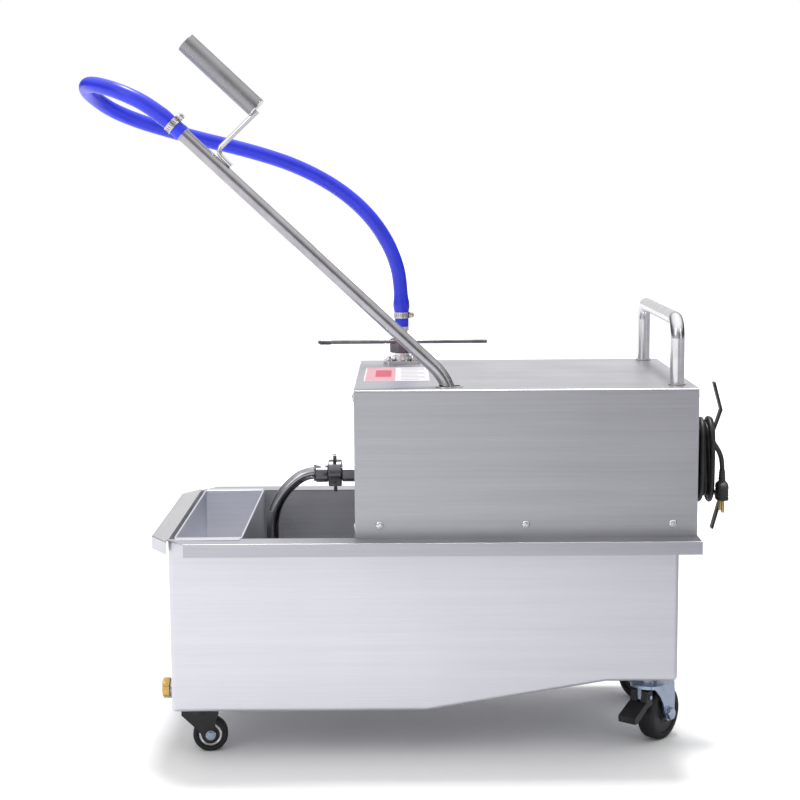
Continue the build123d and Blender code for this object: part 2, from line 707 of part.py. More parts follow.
def wand_plane(back):
    """Plane across the wand, a distance back down from its hose end; X is the upper side."""
    return Plane(origin=WAND_END - WAND_DIR * back, x_dir=WAND_SIDE, z_dir=WAND_DIR)


def wand_tube():
    outer = tube_along(WAND_ROUTE, WAND_R, [WAND_BEND_R])
    bore = tube_along(WAND_ROUTE, WAND_R - 1.2, [WAND_BEND_R])
    collar = Cylinder(HOSE_R, 8) - Cylinder(WAND_R - 1.2, 9)
    return outer - bore + wand_plane(4) * collar


def wand_grip():
    """Plain round grip, parallel to the wand."""
    grip = fillet(Cylinder(GRIP_R, GRIP_LEN).edges(), 1.0)
    return wand_plane(GRIP_BACK) * Pos(GRIP_RISE, 0, GRIP_LEN / 2) * grip


def grip_rod():
    """Bent rod from the wand, where it is welded along the tube, to the grip's lower end."""
    seat = WAND_R + ROD_R - 0.3
    foot = wand_plane(ROD_FOOT).origin + WAND_SIDE * seat
    knee = wand_plane(ROD_KNEE).origin + WAND_SIDE * (seat + 1.5)
    top = wand_plane(GRIP_BACK + 4.5).origin + WAND_SIDE * (GRIP_RISE - 2)
    path = FilletPolyline(tuple(foot), tuple(knee), tuple(top), radius=9)
    rod = sweep(Plane(origin=path @ 0, z_dir=path % 0) * Circle(ROD_R), path=path)
    tab = Cylinder(GRIP_R, 2, align=(Align.CENTER, Align.CENTER, Align.MAX))
    return rod + wand_plane(GRIP_BACK) * Pos(GRIP_RISE, 0, 0) * tab


def hose_clamp(plane, side):
    """Worm-drive band round the hose, with its screw housing on the given X side."""
    band = Cylinder(HOSE_R + 1.6, 10) - Cylinder(HOSE_R + 0.3, 11)
    house = Pos(side * (HOSE_R + 4.2), 0, 0) * Box(6, 12, 9)
    screw = Pos(side * (HOSE_R + 4.2), 9, 0) * Rot(90, 0, 0) * Cylinder(3.2, 8)
    return plane * (band + house + screw)


parts["wand_tube"] = wand_tube()
parts["wand_grip"] = wand_grip()
parts["grip_rod"] = grip_rod()
lower_clamp_plane = Plane(origin=(OUTLET_X, OUTLET_Y, HOSE_END_Z + 18), x_dir=(1, 0, 0))
parts["lower_hose_clamp"] = hose_clamp(lower_clamp_plane, 1)
parts["upper_hose_clamp"] = hose_clamp(wand_plane(-12), 1)


# ---------------------------------------------------------------- cord, hooks and switch
def cord_hook(arm_z, way, bend, tip):
    """Flat strip hook on the right end plate; way is 1 with the tip up, -1 with it down."""
    x, t = BOX_X1, HOOK_T
    outline = [
        (x, arm_z - 18 * way),
        (x, arm_z + t * way),
        (HOOK_ARM_X - 1.5, arm_z + t * way),
        (HOOK_FACE_X - 3.4, arm_z + bend * way),
        (HOOK_FACE_X - 14, arm_z + (tip - 1) * way),
        (HOOK_FACE_X - 11, arm_z + tip * way),
        (HOOK_FACE_X, arm_z + bend * way),
        (HOOK_ARM_X, arm_z),
        (x + t, arm_z),
        (x + t, arm_z - 18 * way),
    ]
    return prism_y(outline, HOOK_Y - HOOK_W / 2, HOOK_Y + HOOK_W / 2)


def cord_coil():
    """Wound cord round both hooks, as one closed ring."""
    centre = (HOOK_UP_Z + HOOK_LOW_Z) / 2
    ring = SlotCenterToCenter(2 * COIL_HALF, 2 * COIL_OUT_R)
    ring -= SlotCenterToCenter(2 * COIL_HALF, 2 * COIL_IN_R)
    ring = Plane(origin=(COIL_X0, HOOK_Y, centre), x_dir=(0, 0, 1), z_dir=(1, 0, 0)) * ring
    return extrude(ring, amount=COIL_X1 - COIL_X0)


parts["upper_cord_hook"] = cord_hook(HOOK_UP_Z, 1, 32, 73)
parts["lower_cord_hook"] = cord_hook(HOOK_LOW_Z, -1, 22, 62)
parts["cord_coil"] = cord_coil()


def cable_gland():
    y, z = GLAND_Y, GLAND_Z
    gland = hexagon_x(BOX_X1, BOX_X1 + 6, y, z, 22)
    gland += rod_x(BOX_X1 - 6, BOX_X1, y, z, 7.9)
    gland += rod_x(BOX_X1 + 6, CORD_ROUTE[0][0], y, z, 7)
    return gland - rod_x(BOX_X1 - 7, CORD_ROUTE[0][0] + 1, y, z, CORD_R)


def plug():
    """Moulded mains plug with its round pins down."""
    low, high = PLUG_Z - PLUG_H / 2, PLUG_Z + PLUG_H / 2
    body = Pos(PLUG_X, PLUG_Y, PLUG_Z) * Box(18, PLUG_W, PLUG_H)
    body = fillet(body.edges().filter_by(Axis.Z), 6)
    body += rod_z(PLUG_X, PLUG_Y, high, high + 17, 6)
    for y in (PLUG_Y - PIN_PITCH / 2, PLUG_Y + PIN_PITCH / 2):
        body += rod_z(PLUG_X, y, low - PIN_LEN, low, PIN_R)
    return body


parts["cable_gland"] = cable_gland()
parts["power_cord"] = tube_along(CORD_ROUTE, CORD_R)
parts["plug"] = plug()


def switch_bezel():
    y, z = SWITCH_Y, SWITCH_Z
    w, h = SWITCH_W / 2, SWITCH_H / 2
    bezel = box(BOX_X1, BOX_X1 + 2, y - w, y + w, z - h, z + h)
    bezel += box(BOX_X1 - 14, BOX_X1, y - w + 2, y + w - 2, z - h + 2, z + h - 2)
    cut = box(BOX_X1 - 12, BOX_X1 + 3, y - w + 3.5, y + w - 3.5, z - h + 3.5, z + h - 3.5)
    return bezel - cut


def rocker_switch():
    """Rocker on a cross axis, tipped to off."""
    x, y, z = BOX_X1 - 4, SWITCH_Y, SWITCH_Z
    w, h = SWITCH_W / 2 - 3.9, SWITCH_H / 2 - 5.4
    outline = [(x - 3, z - h), (x + 6.5, z - h), (x + 4.5, z), (x + 7.5, z + h), (x - 3, z + h)]
    return prism_y(outline, y - w, y + w)


parts["switch_bezel"] = switch_bezel()
parts["rocker_switch"] = rocker_switch()


# ---------------------------------------------------------------- drain
def drain_socket():
    """Welded socket through the tank wall, with an inside nut."""
    y, z = DRAIN_Y, DRAIN_Z + 3
    socket = rod_x(TANK_X0 - 4, TANK_X0 + SHEET, y, z, 9)
    socket += rod_x(TANK_X0 - 4, TANK_X0, y, z, 14)
    return socket - rod_x(TANK_X0 - 5, TANK_X0 + 3, y, z, 7)


def drain_plug():
    """Hexagonal brass plug screwed into the socket."""
    y, z = DRAIN_Y, DRAIN_Z + 3
    cap = hexagon_x(TANK_X0 - 19, TANK_X0 - 4.4, y, z, 31)
    cap &= fillet(rod_x(TANK_X0 - 19, TANK_X0 - 4.4, y, z, 15.2).edges(), 1.5)
    return cap + rod_x(TANK_X0 - 4.4, TANK_X0 + 1, y, z, 7 - FIT)


parts["drain_socket"] = drain_socket()
parts["drain_plug"] = drain_plug()


# ---------------------------------------------------------------- castors
def castor_plate(height, length, width, race_r, race_h, pin_r):
    """Top plate with its swivel race, plate top at the castor's full height."""
    plate = Pos(0, 0, height - 1.25) * Box(length, width, 2.5)
    plate = fillet(plate.edges().filter_by(Axis.Z), 6)
    z0 = height - 2.5 - race_h
    plate += rod_z(0, 0, z0, height - 2.5, race_r)
    for sx in (-1, 1):
        for sy in (-1, 1):
            x, y = sx * (length / 2 - 8), sy * (width / 2 - 8)
            plate += rod_z(x, y, height - 7.5, height - 2.5, 4)
    return plate - rod_z(0, 0, z0 - 1, height - 2.5, pin_r + FIT)


def castor_fork(crown, leg, gap, leg_t, trail, axle, pin):
    """Crown, two flat legs and riveted axle; trail runs along X and the axle along Y."""
    crown_r, crown_z = crown
    axle_z, axle_r = axle
    pin_r, pin_top = pin
    crown_top = leg[0][1]
    fork = rod_z(0, 0, crown_z, crown_top, crown_r)
    fork += rod_z(0, 0, crown_z, pin_top, pin_r)
    for side in (-1, 1):
        y0, y1 = sorted((side * gap / 2, side * (gap / 2 + leg_t)))
        fork += prism_y(leg, y0, y1)
    half = gap / 2 + leg_t + 2.5
    fork += box(leg[0][0], leg[-1][0], -gap / 2, gap / 2, crown_z, crown_top)
    return fork + rod_y(trail, -half, half, axle_z, axle_r)


def castor_wheel(r, width, axle_r, trail, hub_r):
    """Tyre with a raised hub, bored to run on the axle."""
    tyre = rod_y(trail, -width / 2, width / 2, r, r)
    tyre = fillet(tyre.edges(), min(4, width / 5))
    for side in (-1, 1):
        y0, y1 = sorted((side * width / 2, side * (width / 2 - 1.5)))
        tyre -= rod_y(trail, y0, y1, r, r * 0.72) - rod_y(trail, y0, y1, r, hub_r)
    return tyre - rod_y(trail, -width, width, r, axle_r + FIT)


def pedal_tab():
    """Tab under the rear crown with the pin that the brake pedal tips on."""
    x, z = PEDAL_PIVOT
    tab = box(x - 6, x + 6, -PEDAL_TAB_HALF, PEDAL_TAB_HALF, z - 4, REAR_LEG[1][1])
    return tab + rod_y(x, -PEDAL_PIN_HALF, PEDAL_PIN_HALF, z, PEDAL_PIN_R)


def brake_pedal():
    """Foot lever pivoted under the crown, ahead of the wheel."""
    x, z = PEDAL_PIVOT
    lever = prism_y(PEDAL_OUTLINE, -PEDAL_HALF_W, PEDAL_HALF_W)
    lever = fillet(lever.edges().group_by(Axis.X)[0], 2)
    slot = PEDAL_TAB_HALF + 0.5
    lever -= box(x - 10, x + 10, -slot, slot, z - 20, z + 12)
    return lever - rod_y(x, -20, 20, z, PEDAL_PIN_R + FIT)


front_plates = []
rear_plates = []
for name, side, sign in (("near", -1, 1), ("far", 1, -1)):
    x, y = FRONT_CASTOR
    place = Pos(x, side * y, 0) * Rot(0, 0, FRONT_HEADING * sign)
    flat = Pos(x, side * y, 0)
    front_plates.append(flat * castor_plate(TANK_FLOOR, 50, 50, 17, 7, 5))
    fork = castor_fork((15, 55.5), FRONT_LEG, 21, 2, FRONT_TRAIL, (FRONT_WHEEL_R, 4), (5, 68))
    wheel = castor_wheel(FRONT_WHEEL_R, FRONT_WHEEL_W, 4, FRONT_TRAIL, 8)
    parts[f"front_{name}_fork"] = place * fork
    parts[f"front_{name}_wheel"] = place * wheel
    x, y = REAR_CASTOR
    place = Pos(x, side * y, 0) * Rot(0, 0, REAR_HEADING * sign)
    flat = Pos(x, side * y, 0)
    rear_plates.append(flat * castor_plate(TANK_FLOOR_SHALLOW, 65, 95, 22, 8, 6))
    fork = castor_fork((26, 86), REAR_LEG, 30, 3, REAR_TRAIL, (REAR_WHEEL_R, 6), (6, 108))
    fork += rod_z(0, 0, REAR_LEG[0][1], 101.5, 12) + pedal_tab()
    wheel = castor_wheel(REAR_WHEEL_R, REAR_WHEEL_W, 6, REAR_TRAIL, 12)
    parts[f"rear_{name}_fork"] = place * fork
    parts[f"rear_{name}_wheel"] = place * wheel
    parts[f"rear_{name}_pedal"] = place * brake_pedal()
parts["front_castor_plates"] = Compound(children=front_plates)
parts["rear_castor_plates"] = Compound(children=rear_plates)

os.makedirs("parts", exist_ok=True)
for name, shape in parts.items():
    shape.label = name
    export_step(shape, f"parts/{name}.step")

print("hose radii", [round(r, 1) for r in corner_radii(HOSE_ROUTE)])
print("cord radii", [round(r, 1) for r in corner_radii(CORD_ROUTE)])
hose_length = parts["oil_hose"].volume / (math.pi * HOSE_R**2)
lead_length = parts["power_cord"].volume / (math.pi * CORD_R**2)
print("hose length", round(hose_length), "cord lead", round(lead_length))
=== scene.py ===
import json
import math
import random

import bmesh
import bpy
from mathutils import Matrix, Vector


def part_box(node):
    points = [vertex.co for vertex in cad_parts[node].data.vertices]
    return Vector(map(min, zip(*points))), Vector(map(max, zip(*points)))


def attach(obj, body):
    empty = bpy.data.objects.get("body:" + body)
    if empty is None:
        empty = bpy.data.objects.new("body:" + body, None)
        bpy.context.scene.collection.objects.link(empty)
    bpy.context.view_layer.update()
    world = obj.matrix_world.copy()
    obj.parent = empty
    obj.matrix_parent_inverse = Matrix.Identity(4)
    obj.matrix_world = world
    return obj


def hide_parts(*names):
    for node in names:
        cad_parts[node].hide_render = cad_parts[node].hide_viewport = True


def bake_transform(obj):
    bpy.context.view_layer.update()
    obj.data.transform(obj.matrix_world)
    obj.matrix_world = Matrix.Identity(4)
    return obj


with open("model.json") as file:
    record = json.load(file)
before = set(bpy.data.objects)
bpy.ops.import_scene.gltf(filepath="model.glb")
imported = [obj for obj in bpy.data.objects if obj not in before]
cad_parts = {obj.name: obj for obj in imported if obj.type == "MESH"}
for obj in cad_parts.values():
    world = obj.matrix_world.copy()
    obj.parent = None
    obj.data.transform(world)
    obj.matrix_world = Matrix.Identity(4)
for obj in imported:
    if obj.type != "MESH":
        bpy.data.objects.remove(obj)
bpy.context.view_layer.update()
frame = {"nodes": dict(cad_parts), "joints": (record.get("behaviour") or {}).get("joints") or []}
NODES = frame["nodes"]
JOINTS = {joint["name"]: joint for joint in frame["joints"]}

# ---------------------------------------------------------------- sizes, in metres
CAMERA_AT = (-0.0515, -2.435, 0.8065)
CAMERA_YAW, CAMERA_PITCH, CAMERA_ROLL = -0.224, 7.402, -0.393      # degrees
CAMERA_LENS = 74.25

HOSE_D = 0.022
CORD_D = 0.007
LOWER_CLAMP_RUN, UPPER_CLAMP_RUN = 0.018, 0.012    # along the hose, from its two ends
CUFF_LENGTH = 0.0070

# Hose route, from the outlet to the wand, and cord route, from the gland to the coil.
HOSE_ROUTE = [
    (-0.058, 0.165, 0.586),
    (-0.058, 0.165, 0.641),
    (-0.066, 0.164, 0.692),
    (-0.097, 0.158, 0.750),
    (-0.146, 0.147, 0.798),
    (-0.212, 0.130, 0.836),
    (-0.287, 0.108, 0.861),
    (-0.372, 0.076, 0.881),
    (-0.470, 0.034, 0.911),
    (-0.506, -0.030, 0.940),
    (-0.495, -0.104, 0.952),
    (-0.443, -0.150, 0.9385),
    (-0.39228, -0.152, 0.91353),
    (-0.3595, -0.152, 0.8827),
]
CORD_ROUTE = [
    (0.364, 0.110, 0.372),
    (0.402, 0.110, 0.372),
    (0.409, 0.078, 0.350),
    (0.397, 0.038, 0.362),
    (0.384, -0.007, 0.384),
]
COIL_Y = -0.036
COIL_HALF = 0.032              # half the distance between the round ends' centres
COIL_INNER, COIL_OUTER = 0.0190, 0.0275
COIL_SHRINK = 0.951            # share of its points' radius that the smooth line keeps
RELIEF_LENGTH = 0.026

CASTORS = (                    # end, wheel's width, axle nuts' reach and size, metal covers or not
    ("front", 0.019, 0.0125, 0.0062, True),
    ("rear", 0.026, 0.018, 0.0092, False),
)

HEX_APOTHEM = math.cos(math.pi / 6)                # of a hexagon whose corners are at 1
WAVE_SCALE = 0.314                                 # gives a wave texture one band per metre
MIX_FACTOR, MIX_FIRST, MIX_SECOND, MIX_RESULT = 0, 6, 7, 2        # sockets of a colour Mix node


# ---------------------------------------------------------------- mesh helpers
def link_object(name, data):
    obj = bpy.data.objects.new(name, data)
    bpy.context.scene.collection.objects.link(obj)
    return obj


def piece(name, bm, materials, body, replaces=(), sharp=35):
    """Mesh object from bm, smooth below the sharp angle, riding on a body."""
    bmesh.ops.recalc_face_normals(bm, faces=bm.faces)
    mesh = bpy.data.meshes.new(name)
    bm.to_mesh(mesh)
    bm.free()
    for material in materials:
        mesh.materials.append(material)
    mesh.shade_smooth()
    mesh.set_sharp_from_angle(angle=math.radians(sharp))
    obj = link_object(name, mesh)
    if body:
        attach(obj, body)
    if replaces:
        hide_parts(*replaces)
    return obj


def place(origin, axis=(0, 0, 1), side=(1, 0, 0)):
    """Matrix that carries local Z to axis and local X towards side, at origin."""
    z = Vector(axis).normalized()
    x = Vector(side) - z * z.dot(Vector(side))
    if x.length < 0.001:
        x = z.orthogonal()
    x.normalize()
    turn = Matrix((x, z.cross(x), z)).transposed().to_4x4()
    turn.translation = Vector(origin)
    return turn


def around(count):
    """Angles of that many points spaced evenly round a circle."""
    return [2 * math.pi * k / count for k in range(count)]


def circle_at(at, radius, count):
    """Points spaced evenly round the Z axis of at."""
    return [at @ Vector((radius * math.cos(t), radius * math.sin(t), 0)) for t in around(count)]


def lifted(profile, by):
    return [(radius, by + height) for radius, height in profile]


def both_sides(profile):
    """The profile and its mirror image in height 0."""
    return profile + [(radius, -height) for radius, height in reversed(profile)]


def hump(run, centre, width, height):
    """A smooth rise of that height about centre."""
    return height * math.exp(-(((run - centre) / width) ** 2))


def bridge(bm, low, high, slot=0):
    count = len(low)
    for k in range(count):
        face = bm.faces.new((low[k], low[(k + 1) % count], high[(k + 1) % count], high[k]))
        face.material_index = slot


def skin(bm, rings, slot=0, hollow=False):
    """Faces between neighbouring rings of vertices; hollow joins the last ring to the first."""
    for low, high in zip(rings, rings[1:]):
        bridge(bm, low, high, slot)
    if hollow:
        bridge(bm, rings[-1], rings[0], slot)
        return
    for ring in (rings[0], rings[-1]):
        bm.faces.new(ring).material_index = slot


def turned(bm, at, profile, segments=48, flats=None, slot=0, hollow=False):
    """Solid of revolution from (radius, height) pairs; flats = (count, apothem) cuts flats."""
    rings = []
    for radius, height in profile:
        ring = []
        for turn in around(segments):
            reach = radius
            if flats:
                count, apothem = flats
                step = 2 * math.pi / count
                off = (turn + step / 2) % step - step / 2
                reach = min(radius, apothem / math.cos(off))
            point = Vector((reach * math.cos(turn), reach * math.sin(turn), height))
            ring.append(bm.verts.new(at @ point))
        rings.append(ring)
    skin(bm, rings, slot, hollow)


def block(bm, at, size, bevel=0.0, slot=0):
    """Box of that size centred on at, its edges rounded."""
    before = set(bm.faces)
    made = bmesh.ops.create_cube(bm, size=1.0, matrix=at @ Matrix.Diagonal((*size, 1)))
    if bevel:
        edges = list(dict.fromkeys(e for v in made["verts"] for e in v.link_edges))
        bmesh.ops.bevel(bm, geom=edges, offset=bevel, segments=2, affect="EDGES", profile=0.6)
    for face in bm.faces:
        if face not in before:
            face.material_index = slot


def tube_frames(path):
    """A matrix at each point of path, Z along it, with no twist from one to the next."""
    frames = []
    side = None
    for k, point in enumerate(path):
        ahead = path[min(k + 1, len(path) - 1)] - path[max(k - 1, 0)]
        ahead.normalize()
        if side is None:
            side = ahead.orthogonal()
        side = (side - ahead * ahead.dot(side)).normalized()
        frames.append(place(point, ahead, side))
    return frames


def distances(path):
    total = [0.0]
    for a, b in zip(path, path[1:]):
        total.append(total[-1] + (b - a).length)
    return total


def swept(bm, path, radius, sides=20):
    """Round tube along path; radius is a number or a function of the distance along it."""
    rings = []
    for at, run in zip(tube_frames(path), distances(path)):
        r = radius(run) if callable(radius) else radius
        rings.append([bm.verts.new(point) for point in circle_at(at, r, sides)])
    skin(bm, rings)


def follow(points, resolution=12):
    """The smooth line of an open NURBS curve with these control points."""
    curve = bpy.data.curves.new("route", "CURVE")
    curve.dimensions = "3D"
    curve.resolution_u = resolution
    spline = curve.splines.new("NURBS")
    spline.points.add(len(points) - 1)
    for control, point in zip(spline.points, points):
        control.co = (*point, 1.0)
    spline.order_u = 3
    spline.use_endpoint_u = True
    holder = link_object("route", curve)
    line = bpy.data.meshes.new_from_object(holder)
    path = [v.co.copy() for v in line.vertices]
    bpy.data.objects.remove(holder)
    bpy.data.curves.remove(curve)
    bpy.data.meshes.remove(line)
    return path


def cut_out(mesh, cutter):
    """The mesh with the cutter's solid taken out of it."""
    body = link_object("cut_body", mesh)
    tool = link_object("cut_tool", cutter)
    modifier = body.modifiers.new("cut", "BOOLEAN")
    modifier.object = tool
    modifier.operation = "DIFFERENCE"
    modifier.solver = "EXACT"
    modifier.use_self = True                       # the cutter's own parts cross each other
    bpy.context.view_layer.update()
    graph = bpy.context.evaluated_depsgraph_get()
    done = bpy.data.meshes.new_from_object(body.evaluated_get(graph))
    bpy.data.objects.remove(body)
    bpy.data.objects.remove(tool)
    return done


def to_mesh(bm, name):
    bmesh.ops.recalc_face_normals(bm, faces=bm.faces)
    mesh = bpy.data.meshes.new(name)
    bm.to_mesh(mesh)
    bm.free()
    return mesh


def stamp(bm, mesh, at):
    """Copies mesh into bm at a place, in its first material."""
    first = len(bm.verts)
    first_face = len(bm.faces)
    bm.from_mesh(mesh)
    bm.verts.ensure_lookup_table()
    bm.faces.ensure_lookup_table()
    for vert in bm.verts[first:]:
        vert.co = at @ vert.co
    for face in bm.faces[first_face:]:
        face.material_index = 0


# ---------------------------------------------------------------- camera, world and lights
def make_camera():
    data = bpy.data.cameras.new("camera")
    data.lens = CAMERA_LENS
    data.sensor_width = 36
    data.clip_end = 50
    camera = link_object("camera", data)
    turn = Matrix.Rotation(math.radians(-CAMERA_YAW), 4, "Z")
    turn = turn @ Matrix.Rotation(math.radians(90 - CAMERA_PITCH), 4, "X")
    turn = turn @ Matrix.Rotation(math.radians(CAMERA_ROLL), 4, "Z")
    camera.matrix_world = Matrix.Translation(CAMERA_AT) @ turn
    bpy.context.scene.camera = camera


make_camera()


# ---------------------------------------------------------------- material helpers
def start_material(name, colour, metallic, roughness):
    material = bpy.data.materials.new(name)
    material.use_nodes = True
    tree = material.node_tree
    shader = tree.nodes["Principled BSDF"]
    shader.inputs["Base Color"].default_value = (*colour, 1)
    shader.inputs["Metallic"].default_value = metallic
    shader.inputs["Roughness"].default_value = roughness
    return material, tree, shader


def grain(tree, stretch, scale=1.0, detail=3.0, rough=0.55):
    """Noise in the row frame; a small number in stretch makes it long that way."""
    coords = tree.nodes.new("ShaderNodeTexCoord")
    mapping = tree.nodes.new("ShaderNodeMapping")
    mapping.inputs["Scale"].default_value = stretch
    noise = tree.nodes.new("ShaderNodeTexNoise")
    noise.inputs["Scale"].default_value = scale
    noise.inputs["Detail"].default_value = detail
    noise.inputs["Roughness"].default_value = rough
    tree.links.new(coords.outputs["Object"], mapping.inputs["Vector"])
    tree.links.new(mapping.outputs["Vector"], noise.inputs["Vector"])
    return noise.outputs["Fac"]


def ranged(tree, value, low, high, from_low=0.3, from_high=0.7):
    node = tree.nodes.new("ShaderNodeMapRange")
    node.inputs["From Min"].default_value = from_low
    node.inputs["From Max"].default_value = from_high
    node.inputs["To Min"].default_value = low
    node.inputs["To Max"].default_value = high
    tree.links.new(value, node.inputs["Value"])
    return node.outputs["Result"]


def maths(tree, kind, a, b):
    node = tree.nodes.new("ShaderNodeMath")
    node.operation = kind
    for socket, value in zip(node.inputs, (a, b)):
        if isinstance(value, (int, float)):
            socket.default_value = value
        else:
            tree.links.new(value, socket)
    return node.outputs["Value"]


def weighted(tree, first, share, second, other_share):
    """Sum of two values, each times its share."""
    a = maths(tree, "MULTIPLY", first, share)
    b = maths(tree, "MULTIPLY", second, other_share)
    return maths(tree, "ADD", a, b)


def blended(tree, factor, first, second):
    """Colour between two, each a tuple or a socket."""
    node = tree.nodes.new("ShaderNodeMix")
    node.data_type = "RGBA"
    tree.links.new(factor, node.inputs[MIX_FACTOR])
    for number, colour in ((MIX_FIRST, first), (MIX_SECOND, second)):
        socket = node.inputs[number]
        if isinstance(colour, tuple):
            socket.default_value = (*colour, 1)
        else:
            tree.links.new(colour, socket)
    return node.outputs[MIX_RESULT]


def bumped(tree, shader, height, distance, strength=0.5):
    bump = tree.nodes.new("ShaderNodeBump")
    bump.inputs["Strength"].default_value = strength
    bump.inputs["Distance"].default_value = distance
    tree.links.new(height, bump.inputs["Height"])
    tree.links.new(bump.outputs["Normal"], shader.inputs["Normal"])


def scaled(colour, factor):
    return tuple(min(1.0, c * factor) for c in colour)


def along(axis, long_way, across):
    """Stretch for a grain that runs along one axis."""
    return tuple(long_way if k == "XYZ".index(axis) else across for k in range(3))


def brushed(name, colour, axis, roughness=0.34, streak=0.10, depth=0.00005):
    """Brushed stainless sheet: fine grain along one axis, long streaks, handling smears."""
    material, tree, shader = start_material(name, colour, 1.0, roughness)
    fine = grain(tree, along(axis, 14, 1500), detail=2)
    lines = grain(tree, along(axis, 5, 430), detail=4, rough=0.7)
    bands = grain(tree, along(axis, 1.5, 60), detail=3)
    smears = grain(tree, (1, 1, 1), scale=7, detail=5)
    tone = weighted(tree, lines, 0.6, bands, 0.4)
    uneven = maths(tree, "SUBTRACT", smears, 0.5)
    tone = maths(tree, "ADD", tone, maths(tree, "MULTIPLY", uneven, 0.25))
    shade = blended(
        tree, ranged(tree, tone, 0, 1, 0.32, 0.66),
        scaled(colour, 1 - streak), scaled(colour, 1 + streak),
    )
    tree.links.new(shade, shader.inputs["Base Color"])
    worn = weighted(tree, lines, 0.5, smears, 0.5)
    rough = ranged(tree, worn, roughness - 0.07, roughness + 0.10)
    tree.links.new(rough, shader.inputs["Roughness"])
    bumped(tree, shader, fine, depth)
    return material


def metal(name, colour, roughness, axis="Z", depth=0.00003, tone=0.12):
    """Turned or drawn metal: faint lines along one axis and rubbed patches."""
    material, tree, shader = start_material(name, colour, 1.0, roughness)
    lines = grain(tree, along(axis, 30, 900), detail=3)
    patches = grain(tree, (1, 1, 1), scale=45, detail=5)
    shade = blended(
        tree, ranged(tree, patches, 0, 1, 0.35, 0.65),
        scaled(colour, 1 - tone), scaled(colour, 1 + tone / 2),
    )
    tree.links.new(shade, shader.inputs["Base Color"])
    worn = weighted(tree, lines, 0.4, patches, 0.6)
    rough = ranged(tree, worn, roughness * 0.75, roughness * 1.45)
    tree.links.new(rough, shader.inputs["Roughness"])
    bumped(tree, shader, lines, depth)
    return material


def moulded(name, colour, roughness, scale=900, depth=0.00005, wear=0.35, coat=0.0):
    """Rubber, plastic or paint: fine surface texture, dust and rubbed, slightly lighter patches."""
    material, tree, shader = start_material(name, colour, 0.0, roughness)
    texture = grain(tree, (1, 1, 1), scale=scale, detail=2)
    patches = grain(tree, (1, 1, 1), scale=35, detail=6, rough=0.65)
    dust = tuple(c + wear * 0.12 * (0.6 - c) for c in colour)
    shade = blended(tree, ranged(tree, patches, 0, 1, 0.4, 0.75), colour, dust)
    tree.links.new(shade, shader.inputs["Base Color"])
    rough = ranged(tree, patches, roughness - 0.06, roughness + 0.12)
    tree.links.new(rough, shader.inputs["Roughness"])
    shader.inputs["Coat Weight"].default_value = coat
    shader.inputs["Coat Roughness"].default_value = 0.15
    bumped(tree, shader, texture, depth)
    return material


def woven(name, colour, pitch):
    """Fine woven wire cloth: over-and-under ridges from two crossed waves, with painted shade in
    the low parts between the wires.
    """
    material, tree, shader = start_material(name, colour, 1.0, 0.42)
    coords = tree.nodes.new("ShaderNodeTexCoord")
    waves = []
    for axis in "XY":
        wave = tree.nodes.new("ShaderNodeTexWave")
        wave.bands_direction = axis
        wave.inputs["Scale"].default_value = WAVE_SCALE / pitch
        wave.inputs["Distortion"].default_value = 0.4
        tree.links.new(coords.outputs["Object"], wave.inputs["Vector"])
        waves.append(wave.outputs["Fac"])
    height = maths(tree, "MAXIMUM", *waves)
    gap_shade = ranged(tree, height, 0, 1, 0.2, 0.9)
    # Painted shade: with height, the colour goes from 0.15 times the wire's colour in the low parts
    # between the wires to 1.1 times it on the tops.
    shade = blended(tree, gap_shade, scaled(colour, 0.15), scaled(colour, 1.1))
    tree.links.new(shade, shader.inputs["Base Color"])
    bumped(tree, shader, height, pitch / 4, 0.8)
    return material


def hose_rubber():
    """Blue rubber hose: soft gloss, a fine surface texture and smudges."""
    blue, deep = (0.012, 0.030, 0.78), (0.010, 0.020, 0.60)
    material, tree, shader = start_material("hose_blue", blue, 0.0, 0.36)
    smudges = grain(tree, (1, 1, 1), scale=22, detail=6, rough=0.6)
    texture = grain(tree, (1, 1, 1), scale=700, detail=2)
    shade = blended(tree, ranged(tree, smudges, 0, 1, 0.35, 0.7), deep, blue)
    tree.links.new(shade, shader.inputs["Base Color"])
    tree.links.new(ranged(tree, smudges, 0.28, 0.50), shader.inputs["Roughness"])
    shader.inputs["Coat Weight"].default_value = 0.25
    shader.inputs["Coat Roughness"].default_value = 0.3
    bumped(tree, shader, texture, 0.00004)
    return material


# One stainless steel in six copies. Their base colours, from 0.50 to 0.80, are set to how bright
# each part looks, so the differences between them are painted light and painted shade. The rim, box
# and end-plate copies are the shaded ones.
TANK_STEEL = brushed("tank_sheet", (0.76, 0.76, 0.80), "X", 0.42, 0.05)
RIM_STEEL_SHADED = brushed("rim_sheet_shaded", (0.52, 0.52, 0.56), "X", 0.38, 0.08)
BOX_STEEL_SHADED = brushed("box_sheet_shaded", (0.50, 0.50, 0.53), "X", 0.40, 0.09)
END_STEEL_SHADED = brushed("end_sheet_shaded", (0.50, 0.50, 0.53), "Y", 0.40, 0.08)
LIP_STEEL = brushed("lip_sheet", (0.68, 0.68, 0.70), "Y", 0.33, 0.06)
BASKET_STEEL = brushed("basket_sheet", (0.80, 0.81, 0.86), "X", 0.36, 0.05, 0.00001)
POLISHED = metal("polished_tube", (0.78, 0.77, 0.78), 0.15, "Z")
